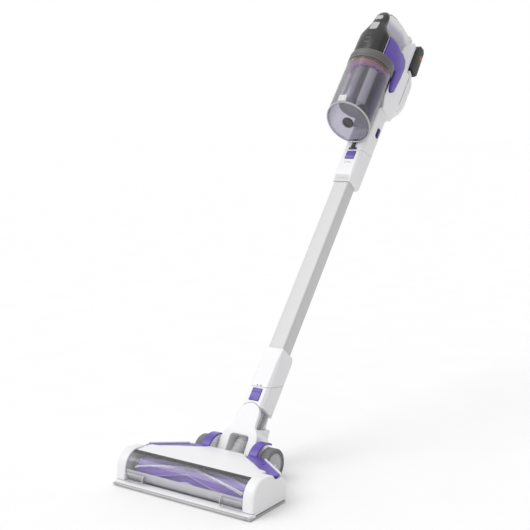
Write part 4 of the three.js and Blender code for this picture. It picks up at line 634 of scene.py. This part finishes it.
boss = {"inner": 90.0, "radius": 13.5, "y": 19.0, "z": 17.0, "wall": 1.6, "from": 121, "to": 207}
for side, sign in sides:
    ends = sorted((sign * boss["inner"], sign * (window["half"] - 0.2)))
    shell = bentSheet(boss["y"], boss["z"], boss["radius"], boss["from"], boss["to"], *ends, boss["wall"], 24)
    face = [(boss["y"] + boss["radius"] * math.cos(math.radians(a)),
             boss["z"] + boss["radius"] * math.sin(math.radians(a)))
            for a in range(boss["from"], boss["to"] + 1, 4)] + [(boss["y"] + 4, boss["z"] + 2)]
    inside = sign * boss["inner"]
    merged(shell, slab(face, "x", min(inside, inside + sign * 1.4), max(inside, inside + sign * 1.4), 0.3, 2))
    addPiece(f"windowBoss_{side}", shell, "floor_head", clear, headPlace)
    rimSheet = bentSheet(boss["y"], boss["z"], boss["radius"] + 0.15, boss["from"], boss["to"],
                         min(inside - 0.5, inside + 0.5), max(inside - 0.5, inside + 0.5), 1.0, 24)
    addPiece(f"bossRim_{side}", rimSheet, "floor_head", guardHaze, headPlace)
print("window ready")

brush = {
    "core": 19.5, "blade": 25.2, "tuft": 26.0, "bands": 8, "twist": 75, "bladeThick": 1.3, "tuftStep": 4.2,
}


def brushTurn(x):  # angle of a strip at a place along the roll, in radians
    return math.radians(brush["twist"]) * abs(x) / windowHigh.x


def brushStrip(bm, phase, low, high, inner, outer, thick, step=4.0):
    # a thin fin that follows the roll's chevron
    count = int((high - low) / step)
    rows = []
    for i in range(count + 1):
        x = low + (high - low) * i / count
        angle = phase + brushTurn(x)
        out = Vector((0, math.cos(angle), math.sin(angle)))
        side = Vector((0, -math.sin(angle), math.cos(angle))) * thick / 2
        base = Vector((x, 0, 0))
        rows.append([bm.verts.new(base + p) for p in (
            out * inner - side * 1.4, out * outer - side, out * outer + side, out * inner + side * 1.4)])
    for a, b in zip(rows, rows[1:]):
        for i in range(3):
            bm.faces.new((a[i], a[i + 1], b[i + 1], b[i]))
    bm.faces.new(rows[0])
    bm.faces.new(rows[-1][::-1])


core = bmesh.new()
bmesh.ops.create_cone(
    core, cap_ends=True, segments=96, radius1=brush["core"], radius2=brush["core"],
    depth=bristleHigh.x - bristleLow.x,
)
brushPlace = headPlace @ Matrix.Translation(brushAxis)
bmesh.ops.rotate(core, verts=core.verts, cent=(0, 0, 0), matrix=Matrix.Rotation(math.pi / 2, 3, "Y"))
bmesh.ops.translate(core, verts=core.verts, vec=((bristleHigh.x + bristleLow.x) / 2, 0, 0))
addPiece("brushPile", core, "brush_roll", pile, brushPlace, ("brush_bristles",), 50)
blades = bmesh.new()
tufts = bmesh.new()
random.seed(7)
foot = brush["core"] - 0.5  # the strips start a little inside the pile
for index in range(brush["bands"]):
    phase = math.radians(360 / brush["bands"] * index)
    if index % 2:
        brushStrip(blades, phase, bristleLow.x, bristleHigh.x, foot, brush["blade"], brush["bladeThick"])
        continue
    brushStrip(tufts, phase - 0.12, bristleLow.x, bristleHigh.x, foot, brush["core"] + 2.2, 2.6)
    x = bristleLow.x + 2
    while x < bristleHigh.x - 2:
        angle = phase + brushTurn(x) + random.uniform(-0.03, 0.03)
        spike = bmesh.new()
        bmesh.ops.create_cone(
            spike, cap_ends=True, segments=7, radius1=1.0, radius2=1.5,
            depth=brush["tuft"] - brush["core"] + random.uniform(-0.6, 0.2),
        )
        middle = (brush["tuft"] + brush["core"]) / 2 - 0.3
        merged(tufts, spike, Matrix.Translation((x, 0, 0)) @ Matrix.Rotation(angle - math.pi / 2, 4, "X")
               @ Matrix.Translation((0, 0, middle)))
        x += brush["tuftStep"]
addPiece("brushBlades", blades, "brush_roll", blade, brushPlace)
addPiece("brushTufts", tufts, "brush_roll", tuft, brushPlace, (), 50)
print("brush roll ready")

# neck, socket, collars and tube
moulded("neck_yoke", white, 1.0, 8)
moulded("head_socket", white, 0.9, 5)
moulded("wand_lower_collar", white, 0.9, 5)
moulded("wand_upper_collar", white, 0.9, 5)
for name in ("head_release_button", "wand_release_button"):
    bevelled(name, purple, 0.7)

tubeLow, tubeHigh = boxIn(stickPlace, "wand_tube")
tube = {"front": 4.0, "back": 7.0, "segments": 5}


def makeTube():
    bm = slab(
        [(tubeLow.x, tubeLow.y), (tubeHigh.x, tubeLow.y), (tubeHigh.x, tubeHigh.y), (tubeLow.x, tubeHigh.y)],
        "z", tubeLow.z, tubeHigh.z,
    )
    long = [e for e in bm.edges if abs(e.verts[0].co.z - e.verts[1].co.z) > 1]
    middle = (tubeLow.y + tubeHigh.y) / 2
    bevelEdges(bm, [e for e in long if e.verts[0].co.y < middle], tube["front"], tube["segments"])
    long = [e for e in bm.edges if abs(e.verts[0].co.z - e.verts[1].co.z) > 1 and e.verts[0].co.y > middle]
    bevelEdges(bm, [e for e in long if e.calc_face_angle() > 1], tube["back"], tube["segments"])
    return bm


addPiece("wandTube", makeTube(), "wand", tubeAlloy, stickPlace, ("wand_tube",), 20)
print("stick ready")

# corrugated hose from the duct up into the neck
hose = {"radius": 14.0, "ripple": 1.6, "pitch": 7.2, "segments": 40}
ductLow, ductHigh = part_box("suction_duct")
hoseStart = stickPlace.inverted() @ Vector((0, ductHigh.y, (ductLow.z + ductHigh.z) / 2))
hoseTop = boxIn(stickPlace, "hose_lower")[1].z


def hosePath(t):  # the same line as the plain hose, from the duct to the neck
    points = [hoseStart, hoseStart + Vector((0, 12, 14)), Vector((0, 3, 34)), Vector((0, 6, hoseTop))]
    u = 1 - t
    return (points[0] * u ** 3 + points[1] * 3 * u * u * t + points[2] * 3 * u * t * t + points[3] * t ** 3)


def makeHose():
    count = 90
    length = sum((hosePath((i + 1) / count) - hosePath(i / count)).length for i in range(count))

    def shape(level, turn):
        t = level / count
        centre = hosePath(t)
        ahead = (hosePath(min(1, t + 0.01)) - hosePath(max(0, t - 0.01))).normalized()
        across = Vector((1, 0, 0))
        up = ahead.cross(across).normalized()
        wave = math.cos(2 * math.pi * t * length / hose["pitch"])
        radius = hose["radius"] + hose["ripple"] * (0.6 * wave + 0.4 * abs(wave))
        angle = 2 * math.pi * turn
        return centre + (across * math.cos(angle) + up * math.sin(angle)) * radius

    return lofted(range(count + 1), shape, hose["segments"], cap=False)


hoseSkin = addPiece("hoseSkin", makeHose(), None, paleGrey, stickPlace, ("hose_lower",), 60)
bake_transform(hoseSkin)

# dust bin, turned round its own axis
ringLow, ringHigh = boxIn(stickPlace, "bin_ring")
cupLow, cupHigh = boxIn(stickPlace, "bin_cup")
axisY = (ringLow.y + ringHigh.y) / 2
binPlace = stickPlace @ moved(0, axisY, 0)
cup = {"radius": cupHigh.x, "wall": 2.2, "slope": 0.285, "mouth": 775.6}  # mouth: the slanted end's middle
lidHeight = cup["mouth"]
lidTilt = math.atan(cup["slope"])


def makeRing():
    radius, low, high = ringHigh.x, ringLow.z, ringHigh.z
    return turned([
        (radius - 4, low), (radius - 1.4, low), (radius - 0.4, low + 0.5), (radius, low + 1.6),
        (radius, low + 4.5), (radius - 0.5, low + 5.0), (radius - 0.5, low + 5.6), (radius, low + 6.1),
        (radius, high - 1.6),
        (radius - 0.5, high - 0.4), (radius - 1.6, high), (radius - 4, high)], 128, closed=True)


def makeCup():
    bm = turned([
        (cup["radius"] - cup["wall"], lidHeight - 24), (cup["radius"], lidHeight - 24),
        (cup["radius"], cupHigh.z - 3), (cup["radius"] - 0.6, cupHigh.z),
        (cup["radius"] - cup["wall"], cupHigh.z)], 128, closed=True)
    normal = Vector((0, math.sin(lidTilt), math.cos(lidTilt)))
    out = bmesh.ops.bisect_plane(
        bm, geom=bm.verts[:] + bm.edges[:] + bm.faces[:], plane_co=(0, 0, lidHeight), plane_no=normal,
        clear_inner=True,
    )
    rim = [e for e in out["geom_cut"] if isinstance(e, bmesh.types.BMEdge)]
    bmesh.ops.bridge_loops(bm, edges=rim)
    bmesh.ops.recalc_face_normals(bm, faces=bm.faces)
    return bm


# clear lid latch at the cup's front, a plate with two ribs
latch = {"low": 789.5, "high": 806, "half": 9.5, "out": 3.4}
front = -cup["radius"]
plate = front - latch["out"]
latchSkin = slab(
    [(-latch["half"], plate), (latch["half"], plate), (latch["half"], front + 1.4),
     (-latch["half"], front + 1.4)], "z", latch["low"], latch["high"], 1.0)
for x in (-5, 5):
    rib = [(x - 1, plate - 1.1), (x + 1, plate - 1.1), (x + 1, plate), (x - 1, plate)]
    merged(latchSkin, slab(rib, "z", latch["low"] + 2, latch["high"] - 4, 0.4, 2))
addPiece("lidLatch", latchSkin, "dust_bin", guardHaze, binPlace)
addPiece("binRing", makeRing(), "dust_bin", ringGrey, binPlace, ("bin_ring",), 45)
addPiece("binCup", makeCup(), "dust_bin", smoke, binPlace, ("bin_cup",), 40)

lidPlace = binPlace @ moved(0, 0, lidHeight) @ Matrix.Rotation(-lidTilt, 4, "X")
lid = {"rim": 3.2, "thick": 2.4, "dome": 3.4, "gap": 0.3}
stretch = 1 / math.cos(lidTilt)


def makeLid():
    radius = cup["radius"]
    inner = radius - lid["rim"]
    dome = [(inner * math.sin(a), -lid["gap"] - 1.2 - lid["dome"] * math.cos(a)) for a in
            [math.pi / 2 * i / 14 for i in range(15)]]
    under = [(r, z + lid["thick"] * 0.7) for r, z in dome]
    outline = (dome + [(inner + 0.4, -3.6), (radius - 0.6, -3.6), (radius, -3.0), (radius, -lid["gap"]),
               (inner - 0.6, -lid["gap"])] + under[::-1])
    bm = turned(outline, 128)
    bmesh.ops.scale(bm, vec=(1, stretch, 1), verts=bm.verts)
    return bm


addPiece("binLid", makeLid(), "bin_lid", lidSmoke, lidPlace, ("bin_lid",), 45)
rimLine = turned([(cup["radius"] - 0.2, -0.3), (cup["radius"] + 0.25, -0.6), (cup["radius"] + 0.25, -3.0),
                  (cup["radius"] - 0.5, -3.8), (cup["radius"] - 2.4, -3.8), (cup["radius"] - 2.4, -3.4),
                  (cup["radius"] - 0.9, -3.3)], 128, closed=True)
bmesh.ops.scale(rimLine, vec=(1, stretch, 1), verts=rimLine.verts)
addPiece("lidRim", rimLine, "bin_lid", paleGrey, lidPlace)
bossRing = turned([(0, -5.4), (7.0, -5.4), (8.0, -7.0), (10.4, -7.6), (12.6, -6.8), (13.4, -4.9),
                   (13.2, -3.2), (6.7, -3.0), (6.7, -0.9), (0, -0.9)], 64)
addPiece("lidBoss", bossRing, "bin_lid", darkGrey, lidPlace, ("lid_boss",))

shroudLow, shroudHigh = boxIn(stickPlace, "cyclone_shroud")
mesh = perforatedSteel("cycloneSteel", (0, axisY, 0))
shroud = turned([
    (0, shroudLow.z + 6), (shroudHigh.x - 8, shroudLow.z + 6), (shroudHigh.x - 4, shroudLow.z + 1),
    (shroudHigh.x - 1.6, shroudLow.z), (shroudHigh.x, shroudLow.z + 1), (shroudHigh.x, shroudHigh.z),
    (shroudHigh.x - 1.6, shroudHigh.z), (shroudHigh.x - 1.6, shroudLow.z + 8), (0, shroudLow.z + 8)], 128)
addPiece("cycloneSkin", shroud, "dust_bin", mesh, binPlace, ("cyclone_shroud",))
filterLow, filterHigh = boxIn(stickPlace, "filter_ring")
copperHeight = [(stickPlace @ Vector((0, axisY, z))).dot(stickUp) for z in (filterLow.z, filterHigh.z)]
copper = tintedCopper("tintedCopper", *copperHeight)
collar = turned([
    (34, filterLow.z), (37.5, filterLow.z), (41, filterLow.z + 2.5), (filterHigh.x, filterLow.z + 7),
    (filterHigh.x, filterHigh.z), (34, filterHigh.z)], 128, closed=True)
addPiece("filterCollar", collar, "dust_bin", copper, binPlace, ("filter_ring",))
inlet = {"radius": 45.5, "from": -14, "to": 112, "low": 796, "high": 905}
duct = turned([
    (inlet["radius"], inlet["low"]), (inlet["radius"] + 2, inlet["low"] + 2),
    (inlet["radius"] + 2, inlet["high"]), (inlet["radius"] - 1, inlet["high"])],
    48, inlet["to"] - inlet["from"], closed=True)
addPiece("inletScroll", duct, "dust_bin", darkPurple,
         binPlace @ Matrix.Rotation(math.radians(inlet["from"]), 4, "Z"))
print("dust bin ready")

# handheld unit
housing = moulded("main_housing", shadedWhite, 1.5, 6, others=("grip_handle",))
# the reach values give how far from the opening the painted shade spreads, beside it and under the bar
grip = {
    "half": 16.0, "round": 8.0, "barRound": 30.0, "drawn": 8.5, "shadeReach": 6.4, "barShadeReach": 30.0,
    "opening": [(-91, 1010), (-92, 1028), (-82, 1036), (-52, 1047), (-26, 1056), (-14, 1052), (-12, 1030),
                (-22, 1012), (-34, 1007), (-84, 1007)],
}


def fromOpening(y, z):  # distance from the finger opening's outline, below zero inside it
    points = grip["opening"]
    nearest, inside = 1e9, False
    for (ay, az), (by, bz) in zip(points, points[1:] + points[:1]):
        dy, dz = by - ay, bz - az
        t = max(0, min(1, ((y - ay) * dy + (z - az) * dz) / (dy * dy + dz * dz)))
        nearest = min(nearest, math.hypot(y - ay - t * dy, z - az - t * dz))
        if (az > z) != (bz > z) and y < (by - ay) * (z - az) / (bz - az) + ay:
            inside = not inside
    return -nearest if inside else nearest


def roundGrip():  # rounds the opening's rims and paints shade on its inside
    bm = bmesh.new()
    bm.from_mesh(housing.data)
    bm.transform(stickPlace.inverted())
    tone = bm.verts.layers.float.new("tone")
    half = grip["half"]
    for vertex in bm.verts:
        x, y, z = vertex.co
        if not (-100.5 < y < 8 and 1003.5 < z < 1100) or abs(x) > half + 1:
            continue
        away = max(0, fromOpening(y, z))
        bar = between([(1034, 0), (1052, 1)], z)  # the bar above the opening is rounder
        radius = grip["round"] + (grip["barRound"] - grip["round"]) * bar
        if away < radius:
            drawn = grip["drawn"] * (1 - math.sqrt(1 - (1 - away / radius) ** 2))
            if abs(x) > half - drawn:
                vertex.co.x = math.copysign(half - drawn, x)
            reach = grip["shadeReach"] + (grip["barShadeReach"] - grip["shadeReach"]) * bar
            # painted shade: the tone attribute turns the opening's inside and the bar's underside lilac grey
            vertex[tone] = min(1, max(0, (reach - away) / (2.2 + 14 * bar)))
    bm.transform(stickPlace)
    bm.to_mesh(housing.data)
    bm.free()


roundGrip()
moulded("inlet_spigot", innerWhite, 0.8, 3)

motorLow = boxIn(stickPlace, "motor_housing")[0]
motor = {
    "half": [(862, 21), (884, 35), (916, 41), (990, 41), (1017, 34)],
    "back": [(862, 37), (884, 52), (908, 70), (934, 79), (990, 80), (1017, 71)],
    "front": motorLow.y, "vents": 15, "pitch": 6.6, "lowest": 888, "depth": 1.3, "from": 112, "to": 176,
}


def motorPoint(height, angle, growth=0.0):  # angle 0 at the left edge, 180 at the right
    half = straight(motor["half"], height) + growth
    depth = straight(motor["back"], height) - motor["front"] + growth
    c, s = math.cos(math.radians(angle)), math.sin(math.radians(angle))
    return Vector((-half * math.copysign(abs(c) ** 0.8, c), motor["front"] + depth * abs(s) ** 0.9, height))


def ventDepth(height, angle):  # how far a vent's groove is let in, from 0 to 1
    flank = angle if angle > 90 else 180 - angle
    row = (height - motor["lowest"]) / motor["pitch"]
    if not (0 <= row < motor["vents"]) or not (motor["from"] < flank < motor["to"]):
        return 0
    return 1.0 if 0.45 < row % 1 < 0.92 else 0


def makeMotorShell():
    def shape(level, turn):
        if turn <= 0.75:
            angle = turn / 0.75 * 180
            return motorPoint(level, angle, -motor["depth"] * ventDepth(level, angle))
        side = (turn - 0.75) / 0.25
        half = straight(motor["half"], level)
        return Vector((half * (1 - 2 * side), motor["front"], level))

    plain = [864, 870, 877, 884, 992, 1000, 1008, 1013, 1016]
    grooves = [motor["lowest"] + motor["pitch"] * (i + part) for i in range(motor["vents"])
               for part in (0.02, 0.42, 0.48, 0.89, 0.95)]
    return lofted(sorted(plain + grooves), shape, 128)


addPiece("motorShell", makeMotorShell(), "handheld", white, stickPlace, ("motor_housing",), 45)
print("handheld shell ready")

cover = {
    "base": boxIn(stickPlace, "control_cover")[0].z, "top": 1076.5, "back": -101.8,
    "half": [(945, 36), (1001, 36), (1034, 19.5), (1062, 16.5), (1072, 12), (1076.5, 5)],
    "front": [(945, -127), (978, -127), (1012, -124), (1050, -118), (1066, -113), (1073, -109),
              (1076.5, -104.5)],
}


def coverShape(level, turn):
    half = straight(cover["half"], level)
    depth = cover["back"] - straight(cover["front"], level)
    if turn <= 0.75:
        angle = math.pi * turn / 0.75
        c, s = math.cos(angle), math.sin(angle)
        return Vector((half * c, cover["back"] - depth * abs(s) ** 0.7, level))
    side = (turn - 0.75) / 0.25
    return Vector((-half * (1 - 2 * side), cover["back"], level))


def makeCover():
    levels = [cover["base"] + 0.3, 950, 960, 970, 980, 990, 1000, 1005, 1012, 1020, 1028, 1036, 1045, 1054,
              1062, 1067, 1071, 1074, 1076, cover["top"]]
    return lofted(levels, coverShape, 96)


addPiece("controlCover", makeCover(), "handheld", black, stickPlace, ("control_cover",), 45)


# small raised shapes on a face of the stick that looks to the front
def frontMark(name, outline, y, depth, body, material, rounding=0.3):
    skin = slab(outline, "y", y - depth, y + 1.2, rounding, 2)
    return addPiece(name, skin, body, material, stickPlace)


def oblong(x, z, width, height):
    left, right, low, high = x - width / 2, x + width / 2, z - height / 2, z + height / 2
    return [(left, low), (right, low), (right, high), (left, high)]


marks = {"proud": 0.2, "rows": [(995, 9, 1.4), (990, 5, 1.2), (979, 13, 3.6), (966, 17, 5.6)]}
for index, (height, width, tall) in enumerate(marks["rows"]):
    face = straight(cover["front"], height)
    bar = oblong(0, height, width, tall)
    frontMark(f"coverMark_{index}", bar, face, marks["proud"], "handheld", darkGrey, 0.1)
for name in ("wand_release_button", "head_release_button"):  # the button's body has the same name
    low, high = boxIn(stickPlace, name)
    bar = oblong(0, high.z - 6.5, high.x * 2 - 4, 0.9)
    frontMark(f"{name}Ridge", bar, low.y, 0.35, name, purple, 0.15)
high = boxIn(stickPlace, "wand_release_button")[0].z
arch = [(-9 + i, high - 11 + 1.6 * math.sin(math.pi * i / 18)) for i in range(19)]
arch += [(x, z - 0.9) for x, z in reversed(arch)]
collarFront = boxIn(stickPlace, "wand_upper_collar")[0]
frontMark("collarArch", arch, collarFront.y, 0.15, "wand", darkGrey, 0.1)
for index in range(9):
    rib = oblong(-16 + index * 4, collarFront.z + 9, 1.1, 15)
    frontMark(f"collarRib_{index}", rib, collarFront.y, 0.4, "wand", white, 0.35)
low = boxIn(stickPlace, "head_release_button")[1].z
lowerFront = boxIn(stickPlace, "wand_lower_collar")[0].y
for sign in (-1, 1):
    arrow = [(sign * 4 - 2, low + 6), (sign * 4 + 2, low + 6), (sign * 4, low + 9.5)]
    frontMark(f"latchArrow_{sign + 1}", arrow, lowerFront, 0.2, "wand", darkPurple, 0.1)
hook = [(-5, 744), (5, 744), (3.4, 752), (6.5, 766), (-6.5, 766), (-3.4, 752)]
frontMark("lidCatchHook", hook, -25, 2.2, "handheld", satinBlack, 0.6)
frontMark("lidCatchPlate", oblong(0, 741.6, 20, 4.4), -23.6, 0.8, "handheld", darkPurple, 0.4)

bevelled("grip_strip", black, 0.7)
panel = {"wall": 2.6, "round": 3.6, "lift": 2.0, "depth": 5.4, "step": 4.2, "bendY": -69.8, "taper": 7 / 32}


def alongFlank(bm, sign):  # draws a panel's front part in, as the body narrows there
    bend = panel["bendY"]
    bmesh.ops.bisect_plane(
        bm, geom=bm.verts[:] + bm.edges[:] + bm.faces[:], plane_co=(0, bend, 0), plane_no=(0, 1, 0))
    for vertex in bm.verts:
        vertex.co.x -= sign * max(0, bend - vertex.co.y) * panel["taper"]
    return bm


def makePanel(side, sign):  # raised panel with a broad bevel over a darker wall, which is painted shade along the panel's lower and rear edges
    low, high = boxIn(stickPlace, f"side_panel_{side}")
    front, top, base = low.y, high.z, low.z
    face = [(front, base + 47), (front + 55, base + 47), (front + 58, base + 8), (front + 62, base + 1),
            (front + 69, base), (front + 80, base + 12), (front + 85, base + 50), (front + 86, base + 82),
            (front + 78, base + 99), (front + 56, top), (front + 43, top - 4), (front + 22, top - 1),
            (front, top - 1)]
    depth, lift, step = panel["depth"], panel["lift"], panel["step"]
    inner, outer = (high.x - depth, high.x + lift) if sign > 0 else (low.x - lift, low.x + depth)
    skin = slab(face, "x", inner, outer)
    outerX = outer if sign > 0 else inner
    outside = [e for e in skin.edges if all(abs(v.co.x - outerX) < 0.01 for v in e.verts)
               and max(v.co.y for v in e.verts) > front + 1]
    bevelEdges(skin, outside, panel["round"], 4)
    addPiece(f"sidePanel_{side}", alongFlank(skin, sign), "handheld", purple, stickPlace,
             (f"side_panel_{side}",), 50)
    # the wall is painted shade: dark violet showing below and behind the panel
    wall = panel["wall"]
    rim = [(y + (wall if y > front + 50 else 0), z + (-wall if z < base + 20 else wall * 0.2))
           for y, z in face]
    inner, outer = (inner, outer - step) if sign > 0 else (inner + step, outer)
    wallSkin = alongFlank(slab(rim, "x", inner, outer, 0.5), sign)
    addPiece(f"panelShadeWall_{side}", wallSkin, "handheld", darkPurple, stickPlace)


for name in ("power_button", "boost_button"):
    bevelled(name, buttonGrey, 1.0)
for side, sign in sides:
    makePanel(side, sign)
bevelled("battery_pack", satinBlack, 1.2)
bevelled("battery_stripe", orange, 0.4)
bevelled("battery_release_button", satinBlack, 0.5)
bevelled("bin_release_button", darkPurple, 0.6)
print("handheld ready")

# finishes of the solids that keep their own shape
kept = {
    paleGrey: ("sole_plate", "suction_duct", "hose_upper"),
    steel: ("axle_pin_left", "axle_pin_right", "swivel_pin_front", "swivel_pin_rear", "motor_pulley",
            "brush_motor", "head_release_spring", "wand_release_spring", "lid_hinge_pin", "suction_motor",
            "motor_fan"),
    ringGrey: ("brush_core", "brush_pulley"),
    rubber: ("drive_belt",),
    paper: ("pleated_filter",),
    board: ("circuit_board",),
}
for material, names in kept.items():
    for name in names:
        data = nodes[name].data
        data.materials.clear()
        data.materials.append(material)

# floor, light and camera
studio = {
    "floor": 60.0, "sky": 1.0,
    "dim": 0.36, "dimSide": (0.95, 0.1, -0.3),  # the sky is dimmer on the right, so flanks read darker
    "sun": 0.8, "sunAngle": 40, "sunFrom": Vector((-0.5, -0.6, 1.0)),
}


def makeFloor():
    bm = bmesh.new()
    bmesh.ops.create_grid(bm, x_segments=1, y_segments=1, size=studio["floor"])
    data = bpy.data.meshes.new("floor")
    bm.to_mesh(data)
    bm.free()
    data.materials.append(
        mouldedPlastic("floorPaper", (0.9, 0.9, 0.9), (0.89, 0.89, 0.89), (0.8, 0.9), 300, 0.02))
    floor = bpy.data.objects.new("floor", data)
    bpy.context.scene.collection.objects.link(floor)
    floor.location.z = -0.0005


def makeLights():
    sun = bpy.data.lights.new("sun", "SUN")
    sun.energy = studio["sun"]
    sun.angle = math.radians(studio["sunAngle"])
    holder = bpy.data.objects.new("sun", sun)
    bpy.context.scene.collection.objects.link(holder)
    holder.rotation_euler = studio["sunFrom"].to_track_quat("Z", "Y").to_euler()
    world = bpy.data.worlds.new("studio")
    world.use_nodes = True
    tree = world.node_tree
    direction = addNode(tree, "ShaderNodeTexCoord").outputs["Generated"]
    toRight = addNode(
        tree, "ShaderNodeVectorMath", {0: direction, 1: studio["dimSide"]}, operation="DOT_PRODUCT")
    sky = addNode(tree, "ShaderNodeMapRange", {
        "Value": toRight.outputs["Value"], "From Min": 0.0, "From Max": 0.9, "To Min": studio["sky"],
        "To Max": studio["dim"]})
    tree.links.new(sky.outputs["Result"], tree.nodes["Background"].inputs["Strength"])
    tree.nodes["Background"].inputs["Color"].default_value = (1, 1, 1, 1)
    bpy.context.scene.world = world


camera = {"azimuth": 34.3, "elevation": 7.87, "distance": 2.0, "lens": 65.6, "sensor": 36.0,
          "aim": Vector((-0.046, -0.110, -0.080))}  # aim counts from the middle of the object


def makeCamera():
    lens = bpy.data.cameras.new("camera")
    lens.lens = camera["lens"]
    lens.sensor_width = camera["sensor"]
    holder = bpy.data.objects.new("camera", lens)
    bpy.context.scene.collection.objects.link(holder)
    azimuth, elevation = math.radians(camera["azimuth"]), math.radians(camera["elevation"])
    back = Vector((math.sin(azimuth) * math.cos(elevation), -math.cos(azimuth) * math.cos(elevation),
                   math.sin(elevation)))
    aim = (cadBounds[0] + cadBounds[1]) / 2 + camera["aim"]
    holder.location = aim + back * camera["distance"]
    holder.rotation_euler = (-back).to_track_quat("-Z", "Y").to_euler()
    bpy.context.scene.camera = holder


makeFloor()
makeLights()
makeCamera()
bpy.context.scene.view_settings.view_transform = "Standard"
print("studio ready")
